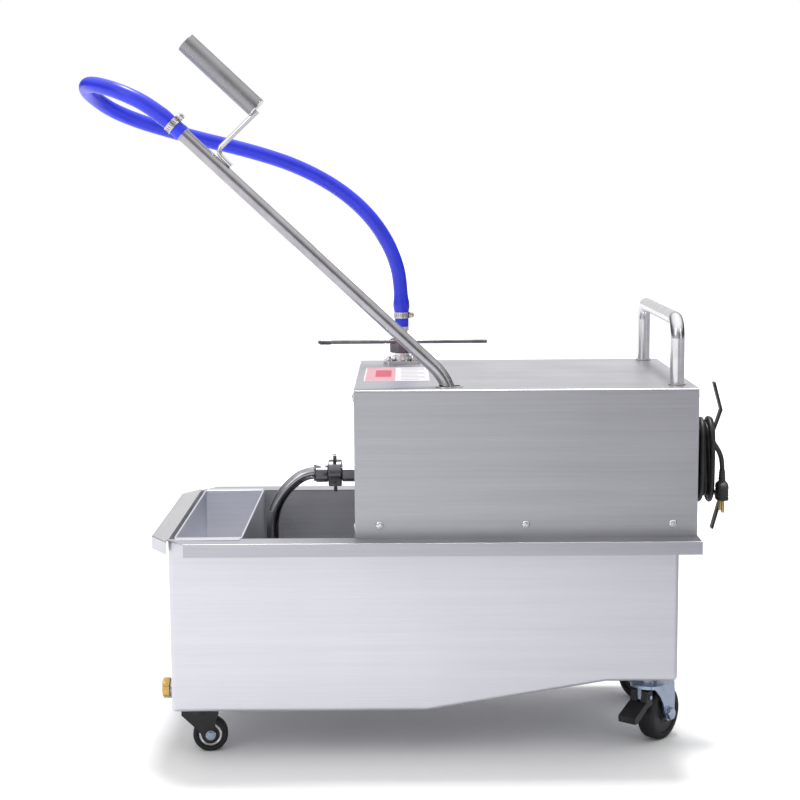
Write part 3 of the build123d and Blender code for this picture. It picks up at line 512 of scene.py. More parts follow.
# The wand and the suction pipe are the handle's polished steel in darker copies: painted shade and
# painted dark reflections.
WAND_STEEL_SHADED = metal("wand_steel_shaded", (0.44, 0.43, 0.45), 0.20, "Z", 0.00001)
PIPE_STEEL_SHADED = metal("pipe_steel_shaded", (0.40, 0.40, 0.43), 0.14, "Z")
FITTING = metal("fitting_steel", (0.15, 0.15, 0.16), 0.24, "X")
DARK_STEEL = metal("dark_steel", (0.20, 0.19, 0.21), 0.30, "X", tone=0.3)
GRIP_STEEL = metal("grip_satin", (0.34, 0.34, 0.35), 0.40, "Z", 0.000002, 0.05)
BRASS = metal("brass", (0.70, 0.47, 0.16), 0.28, "X", tone=0.3)
ZINC = metal("zinc_plate", (0.46, 0.54, 0.66), 0.26, "Z", tone=0.15)
CLAMP_STEEL = metal("clamp_steel", (0.74, 0.72, 0.70), 0.22, "Z")
IRON = metal("cast_iron", (0.26, 0.27, 0.28), 0.55, "Z", 0.0002, 0.3)
MACHINED = metal("machined_steel", (0.55, 0.55, 0.56), 0.25, "X")
WELD = metal("weld_bead", (0.50, 0.47, 0.45), 0.38, "Z", 0.0001, 0.35)
HOSE_BLUE = hose_rubber()
CORD_BLACK = moulded("cord_rubber", (0.012, 0.012, 0.013), 0.42, coat=0.1)
PLASTIC = moulded("black_plastic", (0.010, 0.010, 0.011), 0.42, wear=0.2)
PAINT = moulded("black_paint", (0.008, 0.008, 0.009), 0.34, scale=300, depth=0.00008, wear=0.2)
TYRE = moulded("tyre_rubber", (0.007, 0.007, 0.008), 0.60, scale=500, depth=0.0001, wear=0.15)
MOTOR_PAINT = moulded("motor_paint", (0.16, 0.19, 0.22), 0.45, scale=400)
MARK_WHITE = moulded("printed_white", (0.80, 0.80, 0.80), 0.40, wear=0.1)
FILM_WHITE = moulded("film_white", (0.66, 0.64, 0.65), 0.60, wear=0.1)
FILM_PINK = moulded("film_pink", (0.56, 0.30, 0.33), 0.60, wear=0.1)
FILM_RED = moulded("film_red", (0.46, 0.08, 0.12), 0.60, wear=0.1)
FILM_GREY = moulded("film_grey", (0.35, 0.35, 0.37), 0.60, wear=0.1)
WIRE_CLOTH = woven("wire_cloth", (0.55, 0.55, 0.57), 0.0016)


def paint(material, *names):
    """Gives CAD nodes a material."""
    for name in names:
        for material_slot in NODES[name].material_slots:
            material_slot.material = material


paint(TANK_STEEL, "tank_shell")
paint(RIM_STEEL_SHADED, "tank_rim")
paint(LIP_STEEL, "pour_lip")
paint(BOX_STEEL_SHADED, "box_cover", "base_plate")
paint(END_STEEL_SHADED, "left_end_plate", "right_end_plate")
paint(BASKET_STEEL, "crumb_basket", "filter_frame")
paint(WIRE_CLOTH, "filter_screen")
paint(PIPE_STEEL_SHADED, "suction_pipe")
paint(FITTING, "suction_tail", "suction_nipple", "suction_wing_nut")
paint(WAND_STEEL_SHADED, "wand_tube")
paint(POLISHED, "push_handle", "grip_rod", "wand_socket", "hose_tail", "outlet_riser")
paint(POLISHED, "outlet_flange", "flange_bolts", "cover_screws", "drain_socket")
paint(CLAMP_STEEL, "lower_hose_clamp", "upper_hose_clamp")
paint(GRIP_STEEL, "wand_grip")
paint(DARK_STEEL, "tbar_nut")
paint(BRASS, "drain_plug")
paint(PAINT, "upper_cord_hook", "lower_cord_hook", "front_castor_plates")
paint(PAINT, "front_near_fork", "front_far_fork")
paint(PLASTIC, "rear_near_pedal", "rear_far_pedal", "switch_bezel", "rocker_switch", "cable_gland")
paint(ZINC, "rear_castor_plates", "rear_near_fork", "rear_far_fork")
paint(IRON, "pump_body", "pump_cover")
paint(MOTOR_PAINT, "motor_body", "motor_mount", "fan_cowl")
paint(CORD_BLACK, "shaft_seal")
paint(MACHINED, "motor_shaft", "drive_gear", "driven_gear")


# ---------------------------------------------------------------- hose and cord
def make_hose():
    """Blue hose: it swells a little over the tail, and is pinched where each clamp grips it."""
    path = follow(HOSE_ROUTE)
    total = distances(path)[-1]

    def radius(run):
        near = min(run, total - run)
        if run < total / 2:
            swell, clamp_run = hump(near, 0.034, 0.009, 0.0022), LOWER_CLAMP_RUN
        else:
            swell, clamp_run = hump(near, 0.031, 0.006, 0.0006), UPPER_CLAMP_RUN
        return HOSE_D / 2 + swell - hump(near, clamp_run, 0.005, 0.0005)

    bm = bmesh.new()
    swept(bm, path, radius, sides=28)
    hose = piece("hose", bm, [HOSE_BLUE], None, ["oil_hose"], sharp=60)
    return hose


def coil_turns():
    """Turns round both hooks: down the outer layer, back along the inner one, and out again."""
    chance = random.Random(4)
    low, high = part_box("cord_coil")
    middle_z = (low.z + high.z) / 2
    middle_x = (low.x + high.x) / 2
    x0, x1 = low.x + 0.6 * CORD_D, high.x - 0.6 * CORD_D
    outer_turns, inner_turns, last_turns = 3, 6, 2
    start = CORD_ROUTE[-1][0]
    levels = [
        (start - (start - x0) * k / (outer_turns - 1), COIL_OUTER) for k in range(outer_turns)
    ]
    levels += [(x0 + (x1 - x0) * k / (inner_turns - 1), COIL_INNER) for k in range(inner_turns)]
    levels += [(x1 - 0.001 * k, COIL_OUTER + 0.0006 * k) for k in range(last_turns)]
    points = []
    steps = 6
    for number, (x, radius) in enumerate(levels):
        next_x, next_radius = levels[min(number + 1, len(levels) - 1)]
        lean = chance.uniform(-0.0015, 0.0015)
        loose = chance.uniform(0.0, 0.0012)
        for end in (1, -1):
            for k in range(steps):
                turn = math.pi * k / (steps - 1) + (0 if end > 0 else math.pi)
                share = (k + (0 if end > 0 else steps)) / (2 * steps)
                r = (radius + (next_radius - radius) * share**3 + loose) / COIL_SHRINK
                sideways = x + (next_x - x) * share + lean * end
                narrow = 0.90 if end > 0 else 1.0      # the turns crowd together at the top
                sideways = middle_x + (sideways - middle_x) * narrow
                y = COIL_Y + r * math.cos(turn)
                z = middle_z + end * COIL_HALF + r * math.sin(turn)
                points.append((sideways, y, z))
    return points[: -steps]


def make_cord():
    """Mains cord: lead from the gland, turns round the hooks, and down into the plug."""
    low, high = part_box("plug")
    neck = ((low.x + high.x) / 2, (low.y + high.y) / 2, high.z)
    end = [
        (neck[0] - 0.006, neck[1] - 0.002, neck[2] + 0.030),
        (neck[0], neck[1], neck[2] + 0.014),
        (neck[0], neck[1], neck[2] - 0.002),
    ]
    path = follow(CORD_ROUTE + coil_turns() + end, resolution=6)
    bm = bmesh.new()
    swept(bm, path, CORD_D / 2, sides=12)
    cord = piece(
        "mains_cord", bm, [CORD_BLACK], "cart", ["power_cord", "cord_coil"],
        sharp=60,
    )
    plug = make_plug(neck)
    relief = make_relief(path)


def make_relief(path):
    """Ribbed tapered sleeve on the cord where it leaves the gland."""
    run = distances(path)
    sleeve = [p for p, d in zip(path, run) if d < RELIEF_LENGTH]
    wide, thin, rib, pitch = 0.0066, 0.0042, 0.0005, 0.0040

    def radius(distance):
        taper = wide + (thin - wide) * distance / RELIEF_LENGTH
        return taper + rib * math.cos(2 * math.pi * distance / pitch)

    fine = []
    for a, b in zip(sleeve, sleeve[1:]):
        fine += [a.lerp(b, k / 6) for k in range(6)]
    bm = bmesh.new()
    swept(bm, fine, radius, sides=20)
    return piece("strain_relief", bm, [PLASTIC], "cart", sharp=60)


def make_plug(neck):
    """Two-pin moulded plug, pins down: ribbed neck, shouldered body with finger grooves."""
    x, y, top = neck
    bm = bmesh.new()
    sections = []                                   # (height below the neck's top, half x, half y)
    for k in range(9):
        drop = 0.002 * k
        rib = 0.0007 if k % 2 else 0.0
        sections.append((drop, 0.0046 + 0.00012 * k - rib, 0.0046 + 0.00012 * k - rib))
    sections += [(0.018, 0.0075, 0.0090), (0.0205, 0.0086, 0.0125), (0.0235, 0.0089, 0.0148)]
    for k in range(4):
        sections += [(0.0255 + 0.0034 * k, 0.0090, 0.0152), (0.0270 + 0.0034 * k, 0.0082, 0.0143)]
    sections += [(0.0395, 0.0090, 0.0154), (0.0425, 0.0088, 0.0152), (0.0430, 0.0080, 0.0145)]
    rings = []
    for drop, half_x, half_y in sections:
        ring = []
        for turn in around(32):
            c, s = math.cos(turn), math.sin(turn)
            power = 0.62 if drop > 0.017 else 1.0
            px = half_x * math.copysign(abs(c) ** power, c)
            py = half_y * math.copysign(abs(s) ** power, s)
            ring.append(bm.verts.new((x + px, y + py, top - drop)))
        rings.append(ring)
    skin(bm, rings)
    pin = [(0.0024, 0.0), (0.0024, 0.0160), (0.0020, 0.0178), (0.0012, 0.0186)]
    for side in (-1, 1):
        at = place((x, y + side * 0.0095, top - 0.0425), (0, 0, -1))
        turned(bm, at, [(0.0030, 0.0), (0.0030, 0.0012)], segments=20)
        turned(bm, at, pin, segments=20, slot=1)
    return piece("mains_plug", bm, [CORD_BLACK, BRASS], "cart", ["plug"])


HOSE = make_hose()
make_cord()


# ---------------------------------------------------------------- crumb basket
def rounded_ring(bm, x0, x1, y0, y1, radius, z):
    ring = []
    corners = ((x1, y1, 0), (x0, y1, 90), (x0, y0, 180), (x1, y0, 270))
    for x, y, start in corners:
        cx = x - math.copysign(radius, x - (x0 + x1) / 2)
        cy = y - math.copysign(radius, y - (y0 + y1) / 2)
        for k in range(5):
            turn = math.radians(start + 22.5 * k)
            point = (cx + radius * math.cos(turn), cy + radius * math.sin(turn), z)
            ring.append(bm.verts.new(point))
    return ring


def perforated_sheet(bm, x0, x1, y0, y1, z0, z1, pitch, hole):
    """Sheet with a round hole in each cell of a grid."""
    columns = round((x1 - x0) / pitch)
    rows = round((y1 - y0) / pitch)
    step_x, step_y = (x1 - x0) / columns, (y1 - y0) / rows
    for i in range(columns):
        for j in range(rows):
            cx, cy = x0 + (i + 0.5) * step_x, y0 + (j + 0.5) * step_y
            rings = []
            for z in (z1, z0):
                rim, square = [], []
                for k in range(8):
                    turn = math.pi / 4 * k
                    c, s = math.cos(turn), math.sin(turn)
                    reach = 1 / max(abs(c), abs(s))
                    rim.append(bm.verts.new((cx + hole * c, cy + hole * s, z)))
                    edge = (cx + step_x / 2 * c * reach, cy + step_y / 2 * s * reach, z)
                    square.append(bm.verts.new(edge))
                rings.append((square, rim))
            bridge(bm, rings[0][0], rings[0][1])
            bridge(bm, rings[0][1], rings[1][1])
            bridge(bm, rings[1][1], rings[1][0])
    bmesh.ops.remove_doubles(bm, verts=bm.verts, dist=0.00001)


def make_basket():
    """Sheet basket with a perforated floor, a hemmed top edge and two hanging tabs."""
    low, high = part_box("crumb_basket")
    tab = 0.014
    wall = 0.0012
    x0, x1, y0, y1 = low.x, high.x, low.y + tab, high.y - tab
    hem = 0.0030
    margin = 0.0100                                # of the floor, outside the holes
    profile = [                                    # (inset from the outer face, height)
        (margin, low.z + wall),
        (margin, low.z),
        (0.0030, low.z),
        (0.0009, low.z + 0.0009),
        (0.0, low.z + 0.0030),
        (0.0, high.z - 0.0012),
        (0.0004, high.z - 0.0003),
        (0.0012, high.z),
        (hem - 0.0008, high.z),
        (hem, high.z - 0.0008),
        (hem, high.z - 0.0070),
        (hem - 0.0008, high.z - 0.0078),
        (wall, high.z - 0.0080),
        (wall, low.z + 0.0042),
        (wall + 0.0009, low.z + 0.0021),
        (wall + 0.0030, low.z + wall),
    ]
    bm = bmesh.new()
    perforated_sheet(
        bm, x0 + margin, x1 - margin, y0 + margin, y1 - margin,
        low.z + 0.0001, low.z + wall - 0.0001, pitch=0.0085, hole=0.0022,
    )
    rings = []
    for inset, z in profile:
        sides = (x0 + inset, x1 - inset, y0 + inset, y1 - inset)
        rings.append(rounded_ring(bm, *sides, max(0.0008, 0.004 - inset), z))
    skin(bm, rings, hollow=True)
    for side in (-1, 1):
        edge = y1 if side > 0 else y0
        mid_y = edge + side * (tab / 2 - 0.001)
        at = Matrix.Translation(((x0 + x1) / 2, mid_y, high.z - wall / 2 - 0.0001))
        block(bm, at, (x1 - x0 - 0.006, tab, wall), 0.0004)
        for step in (-1, 0, 1):
            spot = place(((x0 + x1) / 2 + step * 0.034, mid_y, high.z - 0.0002))
            turned(bm, spot, [(0.0020, 0.0), (0.0017, 0.0005), (0.0008, 0.0007)], segments=16)
    piece("basket_sheet_work", bm, [BASKET_STEEL], "basket", ["crumb_basket"])


make_basket()


# ---------------------------------------------------------------- screws, nuts and fittings
def screw_mesh(radius, height, recess):
    """Domed head with a washer face and a cross recess, standing on z = 0."""
    bm = bmesh.new()
    steps = 7
    profile = [(radius, 0.0), (radius, height * 0.18)]
    for k in range(1, steps):
        turn = math.pi / 2 * k / steps
        profile.append((radius * math.cos(turn), height * (0.18 + 0.82 * math.sin(turn))))
    turned(bm, Matrix.Identity(4), profile, segments=32)
    head = to_mesh(bm, "head")
    bm = bmesh.new()
    for turn in (0, math.pi / 2):
        at = Matrix.Translation((0, 0, height)) @ Matrix.Rotation(turn, 4, "Z")
        block(bm, at, (recess, recess * 0.26, height * 1.1))
    cutter = to_mesh(bm, "recess")
    return cut_out(head, cutter)


def make_cover_screws():
    """Domed cross-recess screws of the pump box, each turned a little differently."""
    chance = random.Random(7)
    low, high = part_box("base_plate")
    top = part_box("box_cover")[1].z
    head = screw_mesh(0.0058, 0.0030, 0.0064)
    bm = bmesh.new()

    def drive(x, y, z, axis):
        spin = Matrix.Rotation(chance.uniform(0, math.pi), 4, "Z")
        side = (0, 0, 1)
        stamp(bm, head, place((x, y, z), axis, side) @ spin)

    for x in (low.x + 0.034, (low.x + high.x) / 2 - 0.0005, high.x - 0.034):
        drive(x, low.y, low.z + 0.018, (0, -1, 0))
        drive(x, high.y, low.z + 0.018, (0, 1, 0))
    for y in (low.y + 0.016, (low.y + high.y) / 2, high.y - 0.016):
        for z in (top - 0.012, low.z + 0.012):
            drive(low.x, y, z, (-1, 0, 0))
            drive(high.x, y, z, (1, 0, 0))
    piece("domed_screws", bm, [POLISHED], "cart", ["cover_screws"])


def hexagon(radius, height, chamfer):
    """Profile of a chamfered hexagonal nut; radius is to its corners."""
    return [
        (radius - 2.2 * chamfer, 0.0),
        (radius, chamfer),
        (radius, height - chamfer),
        (radius - 2.2 * chamfer, height),
    ]


def nut(bm, at, radius, height, chamfer, lift=0.0, segments=36):
    """Chamfered hexagonal nut, its foot lifted along Z; radius is to its corners."""
    profile = lifted(hexagon(radius, height, chamfer), lift)
    turned(bm, at, profile, segments, flats=(6, radius * HEX_APOTHEM))


def make_flange_bolts():
    """Hexagonal bolts with washers on the outlet flange."""
    low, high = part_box("flange_bolts")
    bm = bmesh.new()
    inset, washer = 0.004, 0.0008
    for x in (low.x + inset, high.x - inset):
        for y in (low.y + inset, high.y - inset):
            at = place((x, y, low.z))
            turned(bm, at, [(0.0048, 0.0), (0.0048, washer)], segments=32)
            nut(bm, at, 0.0042, 0.0036, 0.0005, washer)
    piece("hex_bolts", bm, [POLISHED], "cart", ["flange_bolts"])


def make_tbar():
    """Union nut with chamfered flats and a rod with rounded ends welded across it."""
    low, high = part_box("tbar_nut")
    exit_x, exit_y = HOSE_ROUTE[0][:2]
    radius = 0.0200
    height = high.z - low.z
    bm = bmesh.new()
    outer = [
        (radius - 0.0024, 0.0),
        (radius, 0.0014),
        (radius, height - 0.0016),
        (radius - 0.0030, height),
        (0.0094, height),
        (0.0094, height - 0.006),
        (0.0125, height - 0.006),
        (0.0125, 0.0),
    ]
    nut_at = place((exit_x, exit_y, low.z))
    turned(bm, nut_at, outer, segments=72, flats=(8, radius * 0.955), hollow=True)
    bar_z = (low.z + high.z) / 2 + 0.007
    bar_y = exit_y - 0.0156
    ends = [(0.0012, 0.0), (0.0023, 0.0005), (0.0030, 0.0016)]
    length = high.x - low.x
    profile = ends + [(r, length - h) for r, h in reversed(ends)]
    turned(bm, place((low.x, bar_y, bar_z), (1, 0, 0)), profile, segments=20)
    cuff = [(0.0030, 0.0), (0.0040, 0.001), (0.0041, 0.015), (0.0036, 0.018), (0.0030, 0.0182)]
    turned(bm, place((low.x + 0.003, bar_y, bar_z), (1, 0, 0)), cuff, segments=20)
    piece("union_nut_and_bar", bm, [DARK_STEEL], "outlet_nut", ["tbar_nut"])


def make_suction_fittings():
    """Chamfered hexagons, sealing collar and flanged neck of the suction union."""
    low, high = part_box("suction_tail")
    y, z = (low.y + high.y) / 2, (low.z + high.z) / 2
    hexagon_length = 0.0195
    bm = bmesh.new()
    outer = hexagon(0.014, hexagon_length, 0.0012)
    at = place((low.x, y, z), (1, 0, 0), (0, 1, 0))
    bore = [(0.0094, hexagon_length), (0.0094, 0.0)]
    turned(bm, at, outer + bore, segments=48, flats=(6, 0.014 * HEX_APOTHEM), hollow=True)
    turned(bm, at, [(0.011, hexagon_length), (0.011, high.x - low.x), (0.0078, high.x - low.x),
                    (0.0078, hexagon_length)], segments=40, hollow=True)
    collar = [
        (0.0118, -0.0022), (0.0122, -0.0012), (0.0122, 0.0), (0.0091, 0.0), (0.0091, -0.0022),
    ]
    turned(bm, at, collar, segments=40, hollow=True)
    piece("union_tail", bm, [FITTING], "cart", ["suction_tail"])

    low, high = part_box("suction_nipple")
    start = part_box("suction_wing_nut")[1].x + 0.0004
    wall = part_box("left_end_plate")[0].x
    bm = bmesh.new()
    at = place((start, y, z), (1, 0, 0), (0, 1, 0))
    hex_length = 0.0220
    bore = [(0.0072, hex_length), (0.0072, 0.0)]
    turned(bm, at, hexagon(0.0135, hex_length, 0.0012) + bore,
           segments=48, flats=(6, 0.0135 * HEX_APOTHEM), hollow=True)
    flange = wall - 0.003 - start
    neck = [(0.0100, hex_length), (0.0100, wall - start + 0.004), (0.0072, wall - start + 0.004)]
    turned(bm, at, neck + [(0.0072, hex_length)], segments=40, hollow=True)
    turned(bm, at, [(0.0144, flange), (0.0150, flange + 0.0006), (0.0150, flange + 0.003),
                    (0.0100, flange + 0.003), (0.0100, flange)], segments=48, hollow=True)
    turned(bm, at, [(0.011, low.x - start), (0.011, 0.0), (0.0072, 0.0), (0.0072, low.x - start)],
           segments=40, hollow=True)
    piece("union_nipple", bm, [FITTING], "cart", ["suction_nipple"])


def make_drain():
    """Brass drain plug: chamfered hexagon, sealing washer and plain shank."""
    low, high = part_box("drain_plug")
    socket_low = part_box("drain_socket")[0]
    y, z = (low.y + high.y) / 2, (low.z + high.z) / 2
    at = place((socket_low.x - 0.0004, y, z), (-1, 0, 0), (0, 1, 0))
    length = socket_low.x - 0.0004 - low.x
    bm = bmesh.new()
    washer = [(0.0150, 0.0), (0.0152, 0.0004), (0.0152, 0.0016), (0.0150, 0.0020)]
    turned(bm, at, washer, segments=48, slot=1)
    head = lifted(hexagon(0.0154, length - 0.0022, 0.0016), 0.0022)
    turned(bm, at, head, segments=48, flats=(6, 0.0138))
    turned(bm, at, [(0.0069, 0.001), (0.0069, -0.0050)], segments=32)
    piece("brass_plug", bm, [BRASS, MACHINED], "drain", ["drain_plug"])


def make_hose_clamp(name, at, body, node):
    """Worm-drive clamp; local Z runs along the hose and local X points at the screw's housing."""
    bm = bmesh.new()
    inner, outer, half = 0.01135, 0.0121, 0.0047
    lip = outer + 0.0004
    band = [
        (inner, -half), (lip, -half), (lip, -half + 0.0008), (outer, -half + 0.0011),
        (outer, half - 0.0011), (lip, half - 0.0008), (lip, half), (inner, half),
    ]
    turned(bm, at, band, segments=64, hollow=True)
    for k in range(17):
        turn = math.radians(48 + 16.5 * k)
        spot = at @ Matrix.Rotation(turn, 4, "Z") @ Matrix.Translation((outer, 0, 0))
        spot = spot @ Matrix.Rotation(math.radians(12), 4, "X")
        block(bm, spot, (0.0003, 0.0009, 0.0056), slot=1)
    screw_x = inner + 0.0043
    saddle = at @ Matrix.Translation((inner + 0.0014, 0, 0))
    block(bm, saddle, (0.0016, 0.0150, 0.0096), 0.0004)
    barrel = at @ place((screw_x, -0.0064, 0), (0, 1, 0), (1, 0, 0))
    housing = [
        (0.0030, 0.0), (0.0040, 0.0006), (0.0042, 0.0020), (0.0042, 0.0110), (0.0038, 0.0124),
    ]
    turned(bm, barrel, housing, segments=28)
    threads = [(0.0026 + (0.0005 if k % 2 else 0.0), 0.0124 + 0.0006 * k) for k in range(4)]
    turned(bm, barrel, threads, segments=24, slot=2)
    head = lifted(hexagon(0.0040, 0.0050, 0.0006), 0.0142)
    turned(bm, barrel, head, segments=36, flats=(6, 0.0036), slot=2)
    block(bm, barrel @ Matrix.Translation((0, 0, 0.0192)), (0.0068, 0.0010, 0.0004), slot=1)
    piece(name, bm, [CLAMP_STEEL, DARK_STEEL, BRASS], body, [node])


def make_clamps():
    """The hose's two clamps, and the end of the hose that grips the wand."""
    start = Vector(HOSE_ROUTE[0])
    lower = place(start + Vector((0, 0, LOWER_CLAMP_RUN)), (0, 0, 1), (1, 0, 0))
    make_hose_clamp("lower_clamp", lower, "cart", "lower_hose_clamp")
    end = Vector(HOSE_ROUTE[-1])
    back = (Vector(HOSE_ROUTE[-2]) - end).normalized()
    upper = back.cross(Vector((0, 1, 0)))
    if upper.z < 0:
        upper = -upper
    upper_at = place(end + back * UPPER_CLAMP_RUN, back, upper)
    make_hose_clamp("upper_clamp", upper_at, "wand", "upper_hose_clamp")
    bm = bmesh.new()
    cuff = [end - back * CUFF_LENGTH + back * CUFF_LENGTH * k / 6 for k in range(7)]
    swept(bm, cuff, lambda run: 0.0114 - hump(run, 0.0, 0.0012, 0.0006), sides=28)
    piece("hose_cuff", bm, [HOSE_BLUE], "wand", sharp=60)


make_cover_screws()
make_flange_bolts()
make_tbar()
make_suction_fittings()
make_drain()
make_clamps()


# ---------------------------------------------------------------- welds
def weld(name, path, radius, body):
    """Rippled weld bead along a path that closes on itself."""
    points = [Vector(p) for p in path]
    points.append(points[0].copy())
    fine = []
    for a, b in zip(points, points[1:]):
        count = max(2, round((b - a).length / 0.0004))
        fine += [a.lerp(b, k / count) for k in range(count)]
    fine.append(points[-1])
    bm = bmesh.new()
    depth, pitch = 0.14, 0.0018
    swept(bm, fine, lambda run: radius * (1 + depth * math.cos(2 * math.pi * run / pitch)), 10)
    piece(name, bm, [WELD], body, sharp=70)


def circle(centre, radius, axis=(0, 0, 1), count=40):
    return circle_at(place(centre, axis), radius, count)


def make_welds():
    low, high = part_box("push_handle")
    handle_r = (high.x - low.x) / 2
    for number, y in enumerate((low.y + handle_r, high.y - handle_r)):
        ring = circle((low.x + handle_r, y, low.z + 0.0006), handle_r)
        weld(f"handle_weld_{number}", ring, 0.0016, "cart")
    low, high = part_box("drain_socket")
    middle = (low + high) / 2
    ring = circle((low.x + 0.0040, middle.y, middle.z), 0.0140, (1, 0, 0))
    weld("drain_weld", ring, 0.0015, "cart")


make_welds()


# ---------------------------------------------------------------- castors
def make_wheel(name, joint, body, node, width, ring):
    """Tyre with rounded shoulders and a parting groove, moulded hub and bearing covers."""
    centre, axis = Vector(joint["pos_m"]), Vector(joint["axis"])
    r = centre.z
    half = width / 2
    at = place(centre, axis, (0, 0, 1))
    rim = 0.74 * r
    edge = 0.14 * r
    groove = 0.0006
    shoulder = [(r - edge + edge * math.sin(t), -half + edge - edge * math.cos(t))
                for t in (math.radians(18 * k) for k in range(6))]
    lower = [(rim, -half + 0.0016), (rim + 0.0006, -half + 0.0004), (rim + 0.0014, -half)]
    lower += shoulder + [(r, -0.0012), (r - groove, -0.0008)]
    bm = bmesh.new()
    turned(bm, at, both_sides(lower), segments=72, hollow=True)
    hub = [
        (rim + 0.0002, -half + 0.0020), (0.62 * r, -half + 0.0026), (0.60 * r, -half + 0.0046),
        (0.40 * r, -half + 0.0046), (0.36 * r, -half + 0.0014),
    ]
    turned(bm, at, both_sides(hub), segments=48, slot=1)
    for side in (-1, 1):
        face = at @ place((0, 0, side * (half - 0.0030)), (0, 0, side))
        if ring:
            cover = [
                (0.50 * r, 0.0), (0.53 * r, 0.0022), (0.60 * r, 0.0026), (0.645 * r, 0.0020),
                (0.66 * r, 0.0),
            ]
            turned(bm, face, cover, segments=56, slot=2, hollow=True)
        cap = [(0.30 * r, 0.0010), (0.30 * r, 0.0024), (0.26 * r, 0.0032), (0.16 * r, 0.0034)]
        turned(bm, face, cap, segments=40, slot=2 if ring else 1)
        for turn in around(5):
            spot = face @ Matrix.Rotation(turn, 4, "Z")
            spot = spot @ Matrix.Translation((0.68 * r, 0, 0.0004))
            block(bm, spot, (0.05 * r, 0.0016, 0.0012), 0.0003, slot=1)
    piece(name, bm, [TYRE, PLASTIC, POLISHED], body, [node])
    return at


def make_axle_nuts(name, at, body, reach, size):
    """A nut on a washer at each end of the axle."""
    washer = 0.0010
    bm = bmesh.new()
    for side in (-1, 1):
        face = at @ place((0, 0, side * reach), (0, 0, side))
        turned(bm, face, [(size * 1.15, 0.0), (size * 1.15, washer)], segments=32)
        nut(bm, face, size, size * 0.62, 0.0006, washer)
    piece(name, bm, [ZINC], body)


def make_castors():
    for end, width, reach, size, ring in CASTORS:
        for side in ("near", "far"):
            label = f"{end}_{side}"
            at = make_wheel(
                f"{label}_wheel_and_tyre", JOINTS[f"{label}_roll"], f"{label}_roller",
                f"{label}_wheel", width, ring,
            )
            make_axle_nuts(f"{label}_axle_nuts", at, f"{label}_swivel", reach, size)


make_castors()


# ---------------------------------------------------------------- label, switch and gland
def make_label():
    """Printed film with plain colour fields: white and pink halves, a red patch, grey bars."""
    low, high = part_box("top_label")
    bm = bmesh.new()
    middle = (low.x + high.x) / 2

    def field(x0, x1, y0, y1, z0, z1, slot):
        at = Matrix.Translation(((x0 + x1) / 2, (y0 + y1) / 2, (z0 + z1) / 2))
        block(bm, at, (x1 - x0, y1 - y0, z1 - z0), slot=slot)

    top = high.z - 0.0001
    root, ink = top - 0.0001, top + 0.00005         # the fields' undersides and faces
    field(low.x, high.x, low.y, high.y, low.z, top, 0)
    field(low.x + 0.002, middle - 0.002, low.y + 0.003, high.y - 0.003, root, ink, 1)
    field(low.x + 0.016, middle - 0.008, low.y + 0.050, high.y - 0.040, root, top + 0.0001, 2)
    for k in range(9):
        y = low.y + 0.014 + 0.018 * k
        field(middle + 0.006, high.x - (0.006 if k % 3 else 0.016), y, y + 0.006, root, ink, 3)
    inks = [FILM_WHITE, FILM_PINK, FILM_RED, FILM_GREY]
    piece("top_film", bm, inks, "cart", ["top_label"])


def make_gland():
    """Cable gland: hexagonal base and ribbed dome nut."""
    low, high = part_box("cable_gland")
    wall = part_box("right_end_plate")[1].x
    y, z = CORD_ROUTE[0][1], CORD_ROUTE[0][2]
    at = place((wall, y, z), (1, 0, 0), (0, 1, 0))
    bm = bmesh.new()
    length = high.x - wall
    nut(bm, at, 0.0110, 0.0060, 0.0008, segments=48)
    dome = [(0.0086, 0.0058), (0.0090, 0.0066), (0.0088, 0.0100), (0.0074, length)]
    turned(bm, at, dome, segments=36)
    for k in range(12):
        rib = at @ Matrix.Rotation(math.radians(30 * k), 4, "Z")
        rib = rib @ Matrix.Translation((0.0088, 0, 0.0083))
        block(bm, rib, (0.0008, 0.0010, 0.0038), 0.0002)
    piece("gland_body", bm, [PLASTIC], "cart", ["cable_gland"])


def make_switch_marks():
    """Line and ring pressed in the rocker's two ends."""
    low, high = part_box("rocker_switch")
    y = (low.y + high.y) / 2
    bm = bmesh.new()
    line_at = Matrix.Translation((high.x - 0.0006, y, high.z - 0.0030))
    block(bm, line_at, (0.0003, 0.0008, 0.0034))
    ring_at = place((low.x + 0.0092, y, low.z + 0.0042), (1, 0, 0), (0, 1, 0))
    ring = [(0.0016, 0.0), (0.0016, 0.0003), (0.0010, 0.0003), (0.0010, 0.0)]
    turned(bm, ring_at, ring, segments=28, hollow=True)
    piece("switch_marks", bm, [MARK_WHITE], "rocker")


make_label()
make_gland()
make_switch_marks()


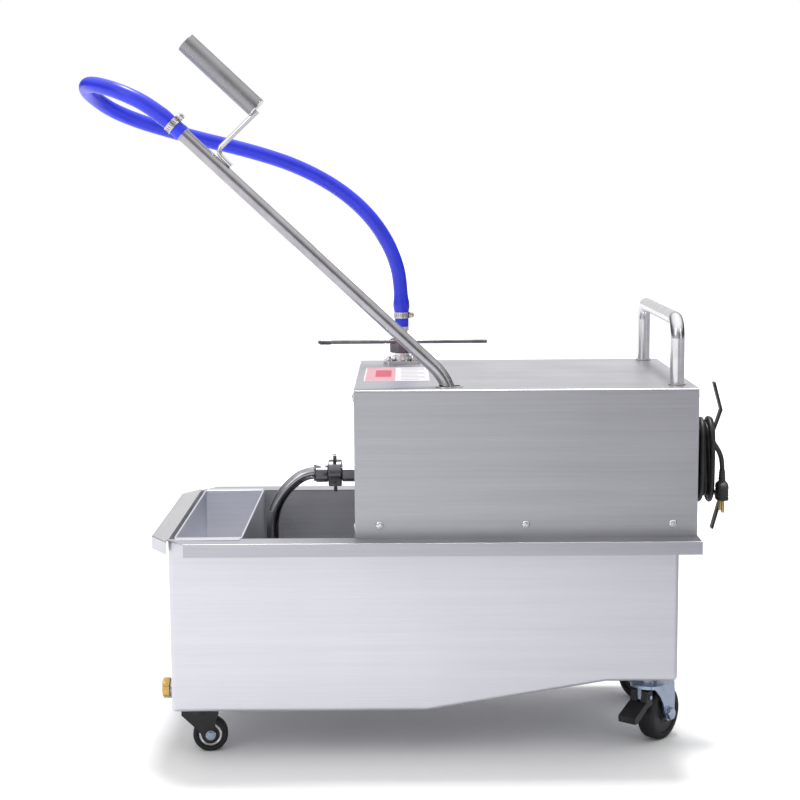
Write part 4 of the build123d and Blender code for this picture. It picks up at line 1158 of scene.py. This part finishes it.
# ---------------------------------------------------------------- stage
def make_world():
    """White to the camera; in reflections bright above and straight behind, dim in front."""
    world = bpy.data.worlds.new("studio")
    bpy.context.scene.world = world
    world.use_nodes = True
    tree = world.node_tree
    background = tree.nodes["Background"]
    coords = tree.nodes.new("ShaderNodeTexCoord")
    parts = tree.nodes.new("ShaderNodeSeparateXYZ")
    tree.links.new(coords.outputs["Generated"], parts.inputs["Vector"])
    front = ranged(tree, parts.outputs["Y"], 0.42, 0.08, -0.8, 0.1)
    front = maths(tree, "MULTIPLY", front, ranged(tree, parts.outputs["X"], 1.35, 0.45, -0.5, 0.4))
    back = ranged(tree, parts.outputs["Y"], 0.0, 0.80, 0.80, 0.95)
    above = ranged(tree, parts.outputs["Z"], 0.0, 1.15, 0.20, 0.75)
    level = maths(tree, "MAXIMUM", maths(tree, "MAXIMUM", front, back), above)
    seen = tree.nodes.new("ShaderNodeLightPath")
    shown = maths(tree, "MAXIMUM", level, seen.outputs["Is Camera Ray"])
    tree.links.new(shown, background.inputs["Strength"])
    background.inputs["Color"].default_value = (1.0, 1.0, 1.0, 1)


def make_light(name, kind, at, towards, energy, size):
    data = bpy.data.lights.new(name, kind)
    data.energy = energy
    if kind == "SUN":
        data.angle = math.radians(size)
    else:
        data.shape = "RECTANGLE"
        data.size, data.size_y = size
    light = link_object(name, data)
    aim = Vector(towards) - Vector(at)
    light.matrix_world = Matrix.Translation(at) @ aim.to_track_quat("-Z", "Y").to_matrix().to_4x4()


def make_stage():
    """Paper floor, darker in reflections and most of all at the handle's end; world and lights."""
    bm = bmesh.new()
    bmesh.ops.create_grid(bm, x_segments=1, y_segments=1, size=20)
    mesh = to_mesh(bm, "floor")
    floor = link_object("floor", mesh)
    material, tree, shader = start_material("floor_paper", (0.93, 0.93, 0.93), 0.0, 0.7)
    mottle = grain(tree, (1, 1, 1), scale=9, detail=4)
    paper = blended(tree, mottle, (0.92, 0.92, 0.92), (0.94, 0.94, 0.94))
    coords = tree.nodes.new("ShaderNodeTexCoord")
    parts = tree.nodes.new("ShaderNodeSeparateXYZ")
    tree.links.new(coords.outputs["Object"], parts.inputs["Vector"])
    side = ranged(tree, parts.outputs["X"], 0, 1, -0.2, 0.9)
    mirrored = blended(tree, side, (0.72, 0.72, 0.74), (0.30, 0.30, 0.32))
    seen = tree.nodes.new("ShaderNodeLightPath")
    tree.links.new(
        blended(tree, seen.outputs["Is Glossy Ray"], paper, mirrored), shader.inputs["Base Color"]
    )
    shader.inputs["Specular IOR Level"].default_value = 0.2
    mesh.materials.append(material)
    make_world()
    make_light("top", "SUN", (0.1, 0.6, 3.0), (0, 0, 0.3), 2.4, 12)
    make_light("softbox_left", "AREA", (-1.6, -2.2, 1.9), (0, 0, 0.4), 10, (1.2, 1.6))
    make_light("softbox_right", "AREA", (1.9, -1.6, 1.2), (0, 0, 0.4), 3, (0.5, 1.6))
    bpy.context.scene.view_settings.view_transform = "Standard"


make_stage()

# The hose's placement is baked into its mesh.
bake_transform(HOSE)
